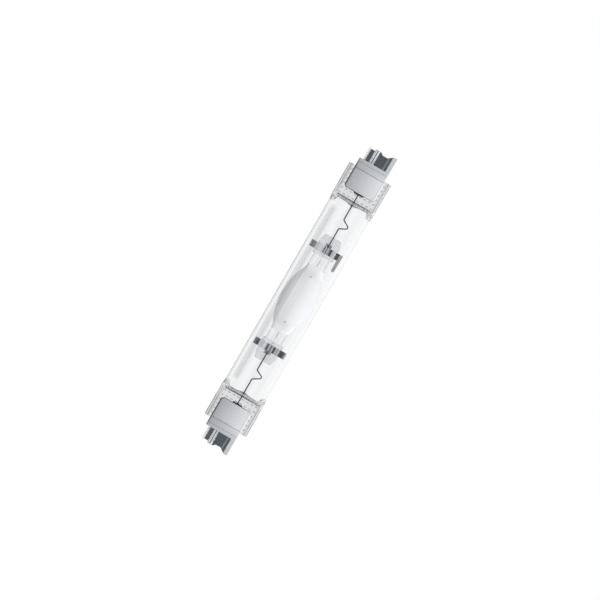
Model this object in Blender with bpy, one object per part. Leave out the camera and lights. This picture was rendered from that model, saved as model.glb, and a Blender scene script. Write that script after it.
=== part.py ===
"""Double-ended quartz metal halide lamp with flat ceramic caps, 163 mm long.

The lamp lies along X with its two press seals flat in the XY plane, and its origin is at its centre.
End a is at +X and end b at -X; they mirror each other in x. All sizes are in metres.
"""

import math

import bmesh
import bpy
from mathutils import Vector

# Clearances
GAP = 0.0003  # between two pieces that touch on the real lamp
THROUGH = 0.0010  # how far a cutter runs past the face that it cuts

# Outer envelope
TUBE_RADIUS = 0.0110
TUBE_WALL = 0.0020
BORE_RADIUS = TUBE_RADIUS - TUBE_WALL
TUBE_HALF_LENGTH = 0.0485  # up to where the press starts to spread the tube's sides
SPREAD_LENGTH = 0.0040  # over which the sides spread to the seal's width
PRESS_DELAY = 0.0023  # from there to where the top and bottom start to drop
PRESS_LENGTH = 0.0031  # over which they drop to the seal's web
PRESS_ARCH = 0.0006  # how much earlier they drop in the middle than at the sides
SEAL_LENGTH = 0.0154
PRESS_START = TUBE_HALF_LENGTH + PRESS_DELAY
SEAL_START = PRESS_START + PRESS_LENGTH
SEAL_END = SEAL_START + SEAL_LENGTH
SEAL_SPREAD = 0.0004  # how far the seal stands out past the tube
SEAL_HALF_WIDTH = TUBE_RADIUS + SEAL_SPREAD
SEAL_WEB_HALF = 0.0020
SEAL_RIB_WIDTH = 0.0016
SEAL_RIB_HALF = 0.0032
SEAL_RIB_ROUND = 0.0005
SEAL_RIB_FILLET = 0.0006
SEAL_GLASS_DEPTH = 0.0016  # solid glass between the hollow's flat end and the start of the seal
HOLLOW_END_TAPER = 0.0010
HOLLOW_END_HALF_HEIGHT = 0.0006
SPREAD_RINGS = 2  # rings from where the sides spread to where the top drops
PRESS_RINGS = 7  # rings from there to the seal
QUARTER_POINTS = 10  # points in a quarter of a ring of the envelope

# Arc tube
BODY_CLEARANCE = 0.0004  # between the body and the tube's bore
BODY_RADIUS = BORE_RADIUS - BODY_CLEARANCE
BODY_HALF_LENGTH = 0.0176
BODY_WALL = 0.0013
BODY_END_WALL = 0.0016
NECK_DROP = 0.00405
NECK_HALF_WIDTH = BODY_RADIUS - NECK_DROP
NECK_HALF_THICKNESS = 0.0026
NECK_PRESS_LENGTH = 0.0024
NECK_LENGTH = 0.0058  # from the body's end to the bead
NECK_START = BODY_HALF_LENGTH
NECK_PRESSED = NECK_START + NECK_PRESS_LENGTH
BEAD_START = NECK_START + NECK_LENGTH
BEAD_LENGTH = 0.0014
BEAD_END = BEAD_START + BEAD_LENGTH
BEAD_SPREAD = 0.00015
BEAD_HALF_THICKNESS = 0.0029
GRIP_SPREAD = 0.0009
GRIP_HALF_WIDTH = NECK_HALF_WIDTH + GRIP_SPREAD
GRIP_HALF_THICKNESS = 0.0021
GRIP_LENGTH = 0.0052
ARC_TAPER_LENGTH = 0.0040
GRIP_END = BEAD_END + GRIP_LENGTH
ARC_SEAL_END = GRIP_END + ARC_TAPER_LENGTH
ARC_SEAL_END_TAPER = 0.00105
ARC_SEAL_END_HALF_THICKNESS = 0.0019
DIMPLE_RADIUS = 0.0016
DIMPLE_DEPTH = 0.0008
BLEND_POWER = 6  # how sharply the body's ellipse turns into the neck
BODY_RINGS = 9
ARC_POINTS = 32

# Electrodes and foils of the arc tube
ARC_GAP_INSET = 0.0053  # from the body's end to the electrode's tip
ELECTRODE_TIP = BODY_HALF_LENGTH - ARC_GAP_INSET
ELECTRODE_RADIUS = 0.00035
ELECTRODE_LENGTH = 0.0089
ELECTRODE_END = ELECTRODE_TIP + ELECTRODE_LENGTH
COIL_RADIUS = 0.00075
COIL_SET_BACK = 0.0006
COIL_START = ELECTRODE_TIP + COIL_SET_BACK
COIL_PITCH = 0.0005
COIL_TURNS = 5
FOIL_THICKNESS = 0.0002
ARC_FOIL_HALF_WIDTH = 0.0016
FOIL_WELD = 0.0020  # how far a wire or an electrode lies on its foil
ARC_FOIL_LENGTH = 0.0092
ARC_FOIL_START = ELECTRODE_END - FOIL_WELD
ARC_FOIL_END = ARC_FOIL_START + ARC_FOIL_LENGTH

# Lead wires
WIRE_RADIUS = 0.0003
WIRE_START = ARC_FOIL_END - FOIL_WELD
KINK_OFFSET = -0.00015  # from the middle of the free wire to the kink's tip
KINK_RISE = 0.0021
KINK_FALL = 0.0028
KINK_TIP = (ARC_SEAL_END + TUBE_HALF_LENGTH) / 2 + KINK_OFFSET
KINK_IN = KINK_TIP - KINK_RISE
KINK_OUT = KINK_TIP + KINK_FALL
KINK_REACH = 0.0044
KINK_TIP_RADIUS = 0.0008
KINK_FOOT_RADIUS = 0.0006

# Ceramic caps along the lamp
CAP_COVER = 0.0112  # length of seal that the cap straddles
CAP_STEP_SET_BACK = 0.00095
CAP_STEP_LENGTH = 0.00315
CAP_BAND_LENGTH = 0.0019
TONGUE_LENGTH = 0.0081
CAP_START = SEAL_END - CAP_COVER
CAP_STEP = SEAL_END - CAP_STEP_SET_BACK
CAP_GROOVE = CAP_STEP + CAP_STEP_LENGTH
CAP_SHOULDER = CAP_GROOVE + CAP_BAND_LENGTH
CAP_END = CAP_SHOULDER + TONGUE_LENGTH

# Foils, outer leads and pins at the caps
SEAL_FOIL_HALF_WIDTH = 0.0030
SEAL_FOIL_SHOWN = 0.0009  # foil that shows between the cap and the tube
SEAL_FOIL_SET_BACK = 0.0021
SEAL_FOIL_START = CAP_START - SEAL_FOIL_SHOWN
SEAL_FOIL_END = SEAL_END - SEAL_FOIL_SET_BACK
SEAL_WIRE_WELD = 0.0028
WIRE_END = SEAL_FOIL_START + SEAL_WIRE_WELD
LEAD_RADIUS = 0.0004
LEAD_START = SEAL_FOIL_END - FOIL_WELD
LEAD_STRAIGHT = 0.0007  # past the seal, before the lead bends
LEAD_BEND = SEAL_END + LEAD_STRAIGHT
LEAD_BEND_RADIUS = 0.0008
LEAD_BEND_LENGTH = 0.0016
PIN_RADIUS = 0.00125
PIN_SIDE = 0.00224  # the pin's axis lies this far to +Y of the lamp's
PIN_SET_BACK = 0.0008  # of the pin's end from the tongue's
PIN_END = CAP_END - PIN_SET_BACK
PIN_EDGE = 0.0002
PIN_BORE_DEPTH = 0.0028
LEAD_IN_PIN = 0.0022

# Support clips and getter
CLIP_BEAD_GAP = 0.0004  # between the bead and the clip
CLIP_INNER = BEAD_END + CLIP_BEAD_GAP
CLIP_WIDTH = 0.0033
CLIP_THICKNESS = 0.00035
CLIP_CLEARANCE = 0.000375  # between the clip's ears and the tube's bore
CLIP_REACH = BORE_RADIUS - CLIP_CLEARANCE - CLIP_THICKNESS / 2  # to the middle of the strip
CLIP_EAR_HALF_HEIGHT = 0.0012
CLIP_EAR_SLOPE = 0.000375
CLIP_NOSE_HALF_HEIGHT = 0.0007
CLIP_NOSE_SET_BACK = 0.0003
CLIP_WAVE = 0.00022  # height of the waves pressed into the strip
GETTER_HALF_WIDTH = 0.0008
GETTER_SET_IN = 0.0011
GETTER_SIDE = CLIP_REACH - GETTER_SET_IN
GETTER_LENGTH_SHOWN = 0.0059
GETTER_TIP = CLIP_INNER - GETTER_LENGTH_SHOWN
GETTER_THICKNESS = 0.0005
GETTER_GROOVE_HALF_WIDTH = 0.0003
GETTER_GROOVE_DEPTH = 0.0002

# Ceramic caps across the lamp
CAP_LEFT_ROOM = 0.0015  # between the cap's left side and the seal's rib
CAP_RIGHT_ROOM = 0.0016
CAP_LEFT = SEAL_HALF_WIDTH - SEAL_RIB_WIDTH - CAP_LEFT_ROOM
CAP_RIGHT = SEAL_HALF_WIDTH - SEAL_RIB_WIDTH - CAP_RIGHT_ROOM
CAP_SIDE_STEP = 0.00045
CAP_RIGHT_OUTER = CAP_RIGHT - CAP_SIDE_STEP
CAP_HALF_THICKNESS = 0.0050
CAP_STEP_DROP = 0.00025
CAP_EDGE_ROUND = 0.0004
CAP_CHAMFER = 0.0010
CAP_CORNER_RADIUS = 0.0015
CAP_DRAFT = 0.00012  # length over which each step of the cap drops
TONGUE_WIDTH = 0.0020
CEMENT_THICKNESS = 0.0005
CEMENT_SET_BACK = 0.0006
POCKET_DEPTH = 0.0014
CORNER_STEPS = 3

# Contact plate
PLATE_THICKNESS = 0.0006
PLATE_SET_IN = 0.0021
PLATE_LIP_SIDE = CAP_LEFT - PLATE_SET_IN
PLATE_LIP_HEIGHT = 0.0010
PLATE_FLANGE_WIDTH = 0.00105
PLATE_FOLD_WIDTH = 0.0006
PLATE_FLANGE_SIDE = CAP_RIGHT_OUTER - TONGUE_WIDTH - GAP
PLATE_FOLD_SIDE = PLATE_FLANGE_SIDE - PLATE_FLANGE_WIDTH - PLATE_FOLD_WIDTH
PLATE_FOLD_RISE = 0.0005
PLATE_LIP_SET_BACK = 0.0010  # set backs of the plate's outer end from the tongue's
PLATE_LEFT_SET_BACK = 0.0015
PLATE_PIN_SET_BACK = 0.0006
PLATE_NOTCH_SET_BACK = 0.0016
PLATE_RIGHT_SET_BACK = 0.0001
PLATE_NOTCH_LEFT = -0.0007
PLATE_NOTCH_SET_IN = 0.0004
PLATE_NOTCH_RIGHT = PLATE_NOTCH_SET_IN - PLATE_FOLD_SIDE

ENDS = {"a": 1, "b": -1}

MATERIALS = {
    "clear_quartz": ((0.90, 0.93, 0.94), 0.05, 0.0, 0.9),
    "frosted_quartz": ((0.86, 0.87, 0.89), 0.45, 0.0, 0.5),
    "tungsten": ((0.30, 0.30, 0.32), 0.45, 1.0, 0.0),
    "molybdenum": ((0.36, 0.38, 0.41), 0.40, 1.0, 0.0),
    "spring_steel": ((0.50, 0.52, 0.55), 0.22, 1.0, 0.0),
    "getter_alloy": ((0.34, 0.35, 0.37), 0.55, 1.0, 0.0),
    "ceramic": ((0.66, 0.68, 0.70), 0.60, 0.0, 0.0),
    "cement": ((0.72, 0.71, 0.68), 0.90, 0.0, 0.0),
    "nickel": ((0.28, 0.31, 0.35), 0.25, 1.0, 0.0),
}


def clear_scene():
    for obj in list(bpy.data.objects):
        bpy.data.objects.remove(obj, do_unlink=True)


def material(name):
    found = bpy.data.materials.get(name)
    if found:
        return found
    colour, roughness, metallic, transmission = MATERIALS[name]
    made = bpy.data.materials.new(name)
    made.use_nodes = True
    shader = made.node_tree.nodes["Principled BSDF"]
    shader.inputs["Base Color"].default_value = (*colour, 1.0)
    shader.inputs["Roughness"].default_value = roughness
    shader.inputs["Metallic"].default_value = metallic
    shader.inputs["Transmission Weight"].default_value = transmission
    return made


def object_from(bm, name, finish=None):
    """An object from a bmesh, its faces turned out."""
    bmesh.ops.recalc_face_normals(bm, faces=bm.faces)
    mesh = bpy.data.meshes.new(name)
    bm.to_mesh(mesh)
    bm.free()
    obj = bpy.data.objects.new(name, mesh)
    bpy.context.scene.collection.objects.link(obj)
    if finish:
        mesh.materials.append(material(finish))
    return obj


def smooth(obj, degrees=35):
    obj.data.shade_smooth()
    obj.data.set_sharp_from_angle(angle=math.radians(degrees))


def cut(obj, cutter, operation="DIFFERENCE"):
    """A Boolean that stays on the object, with its cutter shown as a wire."""
    cutter.display_type = "WIRE"
    cutter.hide_render = True
    boolean = obj.modifiers.new(cutter.name, "BOOLEAN")
    boolean.object = cutter
    boolean.operation = operation
    boolean.solver = "EXACT"


def loft(name, rings, finish=None):
    """A closed body through rings of equally many points, with flat caps."""
    bm = bmesh.new()
    rows = [[bm.verts.new(point) for point in ring] for ring in rings]
    for near, far in zip(rows, rows[1:]):
        for i, vert in enumerate(near):
            j = (i + 1) % len(near)
            bm.faces.new((vert, near[j], far[j], far[i]))
    bm.faces.new(rows[0])
    bm.faces.new(rows[-1])
    return object_from(bm, name, finish)


def prism(name, outline, direction, finish=None):
    """A closed body from a flat outline moved along a direction."""
    return loft(name, [outline, [point + direction for point in outline]], finish)


def box(name, low, high, finish=None):
    x0, y0, z0 = low
    x1, y1, z1 = high
    outline = [Vector((x0, y, z)) for y, z in ((y0, z0), (y1, z0), (y1, z1), (y0, z1))]
    return prism(name, outline, Vector((x1 - x0, 0, 0)), finish)


def circle(x, y, z, radius, count):
    """A ring of points around a line along X."""
    angles = [math.tau * (i + 0.5) / count for i in range(count)]
    return [Vector((x, y + radius * math.cos(a), z + radius * math.sin(a))) for a in angles]


def turned(name, profile, side, centre=(0.0, 0.0), count=16, finish=None):
    """A round body along X from (x, radius) pairs, its axis at centre (y, z)."""
    rings = [circle(side * x, *centre, radius, count) for x, radius in profile]
    return loft(name, rings, finish)


def rounded_path(corners, radii, steps=4):
    """Points along straight runs whose corners are arcs of the given radii."""
    points = [corners[0]]
    for before, corner, after, radius in zip(corners, corners[1:], corners[2:], radii):
        back = (before - corner).normalized()
        ahead = (after - corner).normalized()
        half_angle = back.angle(ahead) / 2
        centre = corner + (back + ahead).normalized() * (radius / math.sin(half_angle))
        first = corner + back * (radius / math.tan(half_angle)) - centre
        last = corner + ahead * (radius / math.tan(half_angle)) - centre
        turn = first.angle(last)
        for i in range(steps + 1):
            share = i / steps
            spread = math.sin(turn)
            a = math.sin((1 - share) * turn) / spread
            b = math.sin(share * turn) / spread
            points.append(centre + first * a + last * b)
    points.append(corners[-1])
    return points


def wire(name, points, radius, finish, count=10):
    """A round wire along a path that lies flat in a plane of constant z."""
    rings = []
    for i, point in enumerate(points):
        before = points[max(i - 1, 0)]
        after = points[min(i + 1, len(points) - 1)]
        along = (after - before).normalized()
        across = Vector((-along.y, along.x, 0))
        turn = (point - before).angle(after - point) if 0 < i < len(points) - 1 else 0.0
        stretch = radius / math.cos(turn / 2)
        angles = [math.tau * k / count for k in range(count)]
        up = Vector((0, 0, radius))
        rings.append([point + across * (stretch * math.cos(a)) + up * math.sin(a) for a in angles])
    obj = loft(name, rings, finish)
    smooth(obj)
    return obj


def strip_outline(middle, thickness, closed):
    """The two sides of a bent strip, offset from its middle line in the YZ plane."""
    count = len(middle)
    inner, outer = [], []
    for i, point in enumerate(middle):
        before = middle[(i - 1) % count] if closed or i else point * 2 - middle[1]
        after = middle[(i + 1) % count] if closed or i < count - 1 else point * 2 - middle[-2]
        first = (point - before).normalized()
        second = (after - point).normalized()
        normal = (first + second).normalized()
        normal = Vector((0, normal.z, -normal.y))
        reach = thickness / 2 / max(math.cos(first.angle(second) / 2), 0.5)
        outer.append(point + normal * reach)
        inner.append(point - normal * reach)
    return outer, inner


def ease(share):
    return share * share * (3 - 2 * share)


def eased_share(place, start, length):
    """0 before the start, 1 past the end, and an eased step between them."""
    return ease(min(max((place - start) / length, 0.0), 1.0))


def four_quarters(quarter, x):
    """A ring that mirrors a quarter outline of (y, z) pairs, from +Y up to +Z, on both axes."""
    upper = quarter + [(-y, z) for y, z in reversed(quarter)]
    lower = [(-y, -z) for y, z in upper]
    return [Vector((x, y, z)) for y, z in upper + lower]


def tube_ring(x, radius):
    step = math.pi / 2 / QUARTER_POINTS
    angles = [step * (i + 0.5) for i in range(QUARTER_POINTS)]
    return four_quarters([(radius * math.cos(a), radius * math.sin(a)) for a in angles], x)


def seal_ring(x):
    """The press seal's section: a flat web between two round-edged ribs."""
    rib_inner = SEAL_HALF_WIDTH - SEAL_RIB_WIDTH
    web_edge = rib_inner - SEAL_RIB_FILLET
    quarter = [
        (SEAL_HALF_WIDTH, SEAL_RIB_HALF / 3),
        (SEAL_HALF_WIDTH, SEAL_RIB_HALF - SEAL_RIB_ROUND),
        (SEAL_HALF_WIDTH - SEAL_RIB_ROUND, SEAL_RIB_HALF),
        (rib_inner + SEAL_RIB_ROUND, SEAL_RIB_HALF),
        (rib_inner, SEAL_RIB_HALF - SEAL_RIB_ROUND),
    ]
    spare = QUARTER_POINTS - len(quarter)
    quarter += [(web_edge * (1 - i / (spare - 0.5)), SEAL_WEB_HALF) for i in range(spare)]
    return four_quarters(quarter, x)


def pressed_share(x, y, start):
    """How far the press has flattened the glass, which it does first in the middle."""
    arch = PRESS_ARCH * (1 - min(abs(y) / TUBE_RADIUS, 1.0) ** 2)
    return eased_share(x + arch, start, PRESS_LENGTH)


def press_ring(x):
    """The envelope's section on its way from the round tube to the ribbed seal."""
    spread = eased_share(x, TUBE_HALF_LENGTH, SPREAD_LENGTH)
    ring = []
    for tube, seal in zip(tube_ring(x, TUBE_RADIUS), seal_ring(x)):
        pressed = pressed_share(x, tube.y, PRESS_START)
        y = tube.y + (seal.y - tube.y) * spread
        ring.append(Vector((x, y, tube.z + (seal.z - tube.z) * pressed)))
    return ring


def hollow_ring(x):
    """The hollow's section on its way from the round bore to a flat slit."""
    flat_width = 1 - HOLLOW_END_TAPER / BORE_RADIUS
    flat_height = HOLLOW_END_HALF_HEIGHT / BORE_RADIUS
    ring = []
    for p in tube_ring(x, BORE_RADIUS):
        pressed = pressed_share(x, p.y, PRESS_START - SEAL_GLASS_DEPTH)
        width = 1 + (flat_width - 1) * pressed
        ring.append(Vector((x, p.y * width, p.z * (1 + (flat_height - 1) * pressed))))
    return ring


def mirrored_rings(rings):
    """Rings from x = 0 outwards, with their mirror images before them."""
    flipped = [[Vector((-p.x, p.y, p.z)) for p in ring] for ring in reversed(rings)]
    return flipped + rings


def seal_passage(owner, side, start, foil_start, foil_end, foil_half_width, foil_z, radii, end):
    """The way through a press seal that its foil and the wires at both ends fill."""
    wire_in, wire_out = radii
    middle = (foil_start + foil_end) / 2
    inner = turned("passage_in", [(start, wire_in + GAP), (middle, wire_in + GAP)], side, count=12)
    outer = turned("passage_out", [(middle - GAP, wire_out + GAP), (end, wire_out + GAP)], side, count=12)
    xs = sorted((side * (foil_start - GAP), side * (foil_end + GAP)))
    half_width = foil_half_width + GAP
    low = (xs[0], -half_width, foil_z - FOIL_THICKNESS / 2 - GAP)
    high = (xs[1], half_width, foil_z + FOIL_THICKNESS / 2 + GAP)
    slot = box("passage_foil", low, high)
    for cutter in (inner, outer, slot):
        cut(owner, cutter)


def foil_level(*radii):
    """Height of a foil's middle under the wires that are welded to it."""
    return -(max(radii) + GAP + FOIL_THICKNESS / 2)


def foil(name, side, start, end, half_width, z):
    """A foil with feathered ends."""
    taper = half_width / 3
    outline = [
        (start, -half_width + taper),
        (start + taper, -half_width),
        (end - taper, -half_width),
        (end, -half_width + taper),
        (end, half_width - taper),
        (end - taper, half_width),
        (start + taper, half_width),
        (start, half_width - taper),
    ]
    points = [Vector((side * x, y, z - FOIL_THICKNESS / 2)) for x, y in outline]
    return prism(name, points, Vector((0, 0, FOIL_THICKNESS)), "molybdenum")


ARC_FOIL_Z = foil_level(ELECTRODE_RADIUS, WIRE_RADIUS)
SEAL_FOIL_Z = foil_level(WIRE_RADIUS, LEAD_RADIUS)


def outer_envelope():
    """Clear tube, flattened by the press into a ribbed seal at each end."""
    spreading = [TUBE_HALF_LENGTH + PRESS_DELAY * i / SPREAD_RINGS for i in range(SPREAD_RINGS)]
    pressing = [PRESS_START + PRESS_LENGTH * i / (PRESS_RINGS - 1) for i in range(PRESS_RINGS)]
    rings = [press_ring(x) for x in spreading + pressing]
    rings.append(seal_ring(SEAL_END))
    obj = loft("outer_envelope", mirrored_rings(rings), "clear_quartz")
    hollow = [hollow_ring(x - SEAL_GLASS_DEPTH - PRESS_ARCH) for x in pressing]
    hollow.append(hollow_ring(SEAL_START - SEAL_GLASS_DEPTH))
    cut(obj, loft("envelope_hollow", mirrored_rings(hollow)))
    hollow_end = SEAL_START - SEAL_GLASS_DEPTH
    for side in ENDS.values():
        seal_passage(
            obj,
            side,
            hollow_end - THROUGH,
            SEAL_FOIL_START,
            SEAL_FOIL_END,
            SEAL_FOIL_HALF_WIDTH,
            SEAL_FOIL_Z,
            (WIRE_RADIUS, LEAD_RADIUS),
            SEAL_END + THROUGH,
        )
    smooth(obj)


def body_radius(x, half_length, radius, neck):
    """An ellipse that runs out smoothly into a straight neck."""
    ellipse = radius * math.sqrt(max(0.0, 1 - (x / half_length) ** 2))
    return (ellipse**BLEND_POWER + neck**BLEND_POWER) ** (1 / BLEND_POWER)


def oval_ring(x, half_width, half_thickness, squareness):
    """A superellipse: 2 is round, and higher values come near a rectangle."""
    points = []
    for i in range(ARC_POINTS):
        angle = math.tau * (i + 0.5) / ARC_POINTS
        c, s = math.cos(angle), math.sin(angle)
        y = half_width * math.copysign(abs(c) ** (2 / squareness), c)
        z = half_thickness * math.copysign(abs(s) ** (2 / squareness), s)
        points.append(Vector((x, y, z)))
    return points


def arc_tube():
    """Blown ellipsoid with a bead and a flat grip pressed at each end."""
    rings = []
    for i in range(BODY_RINGS):
        x = NECK_START * math.sin(math.pi / 2 * i / (BODY_RINGS - 1))
        r = body_radius(x, BODY_HALF_LENGTH, BODY_RADIUS, NECK_HALF_WIDTH)
        rings.append(oval_ring(x, r, r, 2))
    edge = BEAD_LENGTH / 4
    bead_half_width = GRIP_HALF_WIDTH + BEAD_SPREAD
    end_half_width = GRIP_HALF_WIDTH - ARC_SEAL_END_TAPER
    for x, half_width, half_thickness, squareness in (
        (NECK_PRESSED, NECK_HALF_WIDTH, NECK_HALF_THICKNESS, 3),
        (BEAD_START - edge, NECK_HALF_WIDTH, NECK_HALF_THICKNESS, 4),
        (BEAD_START + edge, bead_half_width, BEAD_HALF_THICKNESS, 4),
        (BEAD_END - edge, bead_half_width, BEAD_HALF_THICKNESS, 4),
        (BEAD_END, GRIP_HALF_WIDTH, GRIP_HALF_THICKNESS, 6),
        (GRIP_END, GRIP_HALF_WIDTH, GRIP_HALF_THICKNESS, 6),
        (ARC_SEAL_END, end_half_width, ARC_SEAL_END_HALF_THICKNESS, 6),
    ):
        rings.append(oval_ring(x, half_width, half_thickness, squareness))
    obj = loft("arc_tube", mirrored_rings(rings[1:]), "frosted_quartz")
    hollow_half_length = NECK_START - BODY_END_WALL
    hollow_radius = BODY_RADIUS - BODY_WALL
    hollow = []
    for i in range(BODY_RINGS):
        x = hollow_half_length * math.sin(math.pi / 2 * (i + 0.5) / BODY_RINGS)
        r = hollow_radius * math.sqrt(1 - (x / hollow_half_length) ** 2)
        hollow.append(oval_ring(x, r, r, 2))
    cut(obj, loft("arc_hollow", mirrored_rings(hollow)))
    for side in ENDS.values():
        seal_passage(
            obj,
            side,
            hollow_half_length - BODY_END_WALL,
            ARC_FOIL_START,
            ARC_FOIL_END,
            ARC_FOIL_HALF_WIDTH,
            ARC_FOIL_Z,
            (ELECTRODE_RADIUS, WIRE_RADIUS),
            ARC_SEAL_END + THROUGH,
        )
        dimple = [(ARC_SEAL_END - DIMPLE_DEPTH, WIRE_RADIUS + GAP), (ARC_SEAL_END, DIMPLE_RADIUS)]
        dimple.append((ARC_SEAL_END + THROUGH, DIMPLE_RADIUS))
        cut(obj, turned("seal_dimple", dimple, side, count=16))
    smooth(obj)


def electrode(end, side):
    """Shank with a wound tip, the turns as ridges on the turned profile."""
    profile = [(ELECTRODE_TIP, ELECTRODE_RADIUS), (COIL_START, ELECTRODE_RADIUS)]
    for turn in range(COIL_TURNS):
        x = COIL_START + COIL_PITCH * turn
        profile += [
            (x + COIL_PITCH * 0.15, COIL_RADIUS * 0.85),
            (x + COIL_PITCH * 0.5, COIL_RADIUS),
            (x + COIL_PITCH * 0.85, COIL_RADIUS * 0.85),
        ]
    coil_end = COIL_START + COIL_PITCH * COIL_TURNS
    profile += [(coil_end, ELECTRODE_RADIUS), (ELECTRODE_END, ELECTRODE_RADIUS)]
    smooth(turned(f"electrode_{end}", profile, side, count=12, finish="tungsten"))


def lead_wire(end, side):
    """Wire from foil to foil, with one sideways kink that takes up stress."""
    corners = [
        (WIRE_START, 0),
        (KINK_IN, 0),
        (KINK_TIP, -KINK_REACH),
        (KINK_OUT, 0),
        (WIRE_END, 0),
    ]
    points = rounded_path(
        [Vector((side * x, y, 0)) for x, y in corners],
        (KINK_FOOT_RADIUS, KINK_TIP_RADIUS, KINK_FOOT_RADIUS),
    )
    wire(f"lead_wire_{end}", points, WIRE_RADIUS, "molybdenum")


def outer_lead(end, side):
    """Lead from the seal's foil, bent sideways into the contact pin's bore."""
    pin_start = CAP_SHOULDER - POCKET_DEPTH + GAP
    corners = [
        (LEAD_START, 0),
        (LEAD_BEND, 0),
        (LEAD_BEND + LEAD_BEND_LENGTH, PIN_SIDE),
        (pin_start + LEAD_IN_PIN, PIN_SIDE),
    ]
    points = rounded_path(
        [Vector((side * x, y, 0)) for x, y in corners],
        (LEAD_BEND_RADIUS, LEAD_BEND_RADIUS),
    )
    wire(f"outer_lead_{end}", points, LEAD_RADIUS, "molybdenum")


def contact_pin(end, side):
    """Turned pin with a bore at its inner end for the lead."""
    start = CAP_SHOULDER - POCKET_DEPTH + GAP
    profile = [
        (start, PIN_RADIUS - PIN_EDGE),
        (start + PIN_EDGE, PIN_RADIUS),
        (PIN_END - PIN_EDGE, PIN_RADIUS),
        (PIN_END, PIN_RADIUS - PIN_EDGE),
    ]
    centre = (PIN_SIDE, 0.0)
    obj = turned(f"contact_pin_{end}", profile, side, centre, 20, "nickel")
    bore = [(start - THROUGH, LEAD_RADIUS + GAP), (start + PIN_BORE_DEPTH, LEAD_RADIUS + GAP)]
    cut(obj, turned("pin_bore", bore, side, centre, 12))
    smooth(obj)


def clip_centre_line():
    """The strip's middle line round the arc tube's grip, in the YZ plane."""
    level = GRIP_HALF_THICKNESS + GAP + CLIP_THICKNESS / 2
    shoulder = GRIP_HALF_WIDTH + GAP + CLIP_THICKNESS / 2
    top = [
        (CLIP_REACH, CLIP_NOSE_HALF_HEIGHT),
        (CLIP_REACH - CLIP_NOSE_SET_BACK, CLIP_EAR_HALF_HEIGHT),
        (shoulder + CLIP_EAR_SLOPE, CLIP_EAR_HALF_HEIGHT),
        (shoulder, level),
    ]
    waves = 6
    for i in range(1, waves):
        y = shoulder * (1 - 2 * i / waves)
        top.append((y, level + (CLIP_WAVE if i % 2 else 0.0)))
    top += [(-y, z) for y, z in reversed(top[:4])]
    bottom = [(-y, -z) for y, z in top]
    return [Vector((0, y, z)) for y, z in top + bottom]


def support_clip(end, side):
    """Spring strip closed round the grip, its two ears near the envelope's wall."""
    outer, inner = strip_outline(clip_centre_line(), CLIP_THICKNESS, closed=True)
    xs = (side * CLIP_INNER, side * (CLIP_INNER + CLIP_WIDTH))
    bm = bmesh.new()
    rows = []
    for outline, x in ((outer, xs[0]), (outer, xs[1]), (inner, xs[1]), (inner, xs[0])):
        rows.append([bm.verts.new((x, p.y, p.z)) for p in outline])
    for near, far in zip(rows, rows[1:] + rows[:1]):
        for i, vert in enumerate(near):
            j = (i + 1) % len(near)
            bm.faces.new((vert, near[j], far[j], far[i]))
    object_from(bm, f"support_clip_{end}", "spring_steel")


def getter():
    """Strip with a pressed channel, laid on the ear of clip a."""
    bottom = CLIP_EAR_HALF_HEIGHT + CLIP_THICKNESS / 2 + GAP
    outer_end = CLIP_INNER + CLIP_WIDTH
    outline = []
    steps = 6
    for i in range(steps + 1):
        angle = math.pi / 2 + math.pi * i / steps
        x = GETTER_TIP + GETTER_HALF_WIDTH + GETTER_HALF_WIDTH * math.cos(angle)
        outline.append((x, -GETTER_SIDE + GETTER_HALF_WIDTH * math.sin(angle)))
    outline.append((outer_end, -GETTER_SIDE - GETTER_HALF_WIDTH))
    outline.append((outer_end, -GETTER_SIDE + GETTER_HALF_WIDTH))
    points = [Vector((x, y, bottom)) for x, y in outline]
    obj = prism("getter", points, Vector((0, 0, GETTER_THICKNESS)), "getter_alloy")
    top = bottom + GETTER_THICKNESS
    low = (
        GETTER_TIP + GETTER_HALF_WIDTH,
        -GETTER_SIDE - GETTER_GROOVE_HALF_WIDTH,
        top - GETTER_GROOVE_DEPTH,
    )
    high = (outer_end + THROUGH, -GETTER_SIDE + GETTER_GROOVE_HALF_WIDTH, top + THROUGH)
    cut(obj, box("getter_groove", low, high))


def block_ring(x, right, left, half_thickness):
    """A rectangle from y = -right to left with rounded edges."""
    points = []
    r = CAP_EDGE_ROUND
    corners = (
        (left - r, half_thickness - r, 0),
        (-right + r, half_thickness - r, 1),
        (-right + r, -half_thickness + r, 2),
        (left - r, -half_thickness + r, 3),
    )
    for y, z, quadrant in corners:
        for i in range(CORNER_STEPS):
            angle = math.pi / 2 * (quadrant + i / (CORNER_STEPS - 1))
            points.append(Vector((x, y + r * math.cos(angle), z + r * math.sin(angle))))
    return points


def slot_half_height():
    return SEAL_WEB_HALF + 2 * GAP + CEMENT_THICKNESS


def slot_end():
    return SEAL_END + 2 * GAP + CEMENT_THICKNESS


def plate_level():
    """Height of the contact plate's middle, under the pin that rests on it."""
    return -(PIN_RADIUS + GAP + PLATE_THICKNESS / 2)


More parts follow.
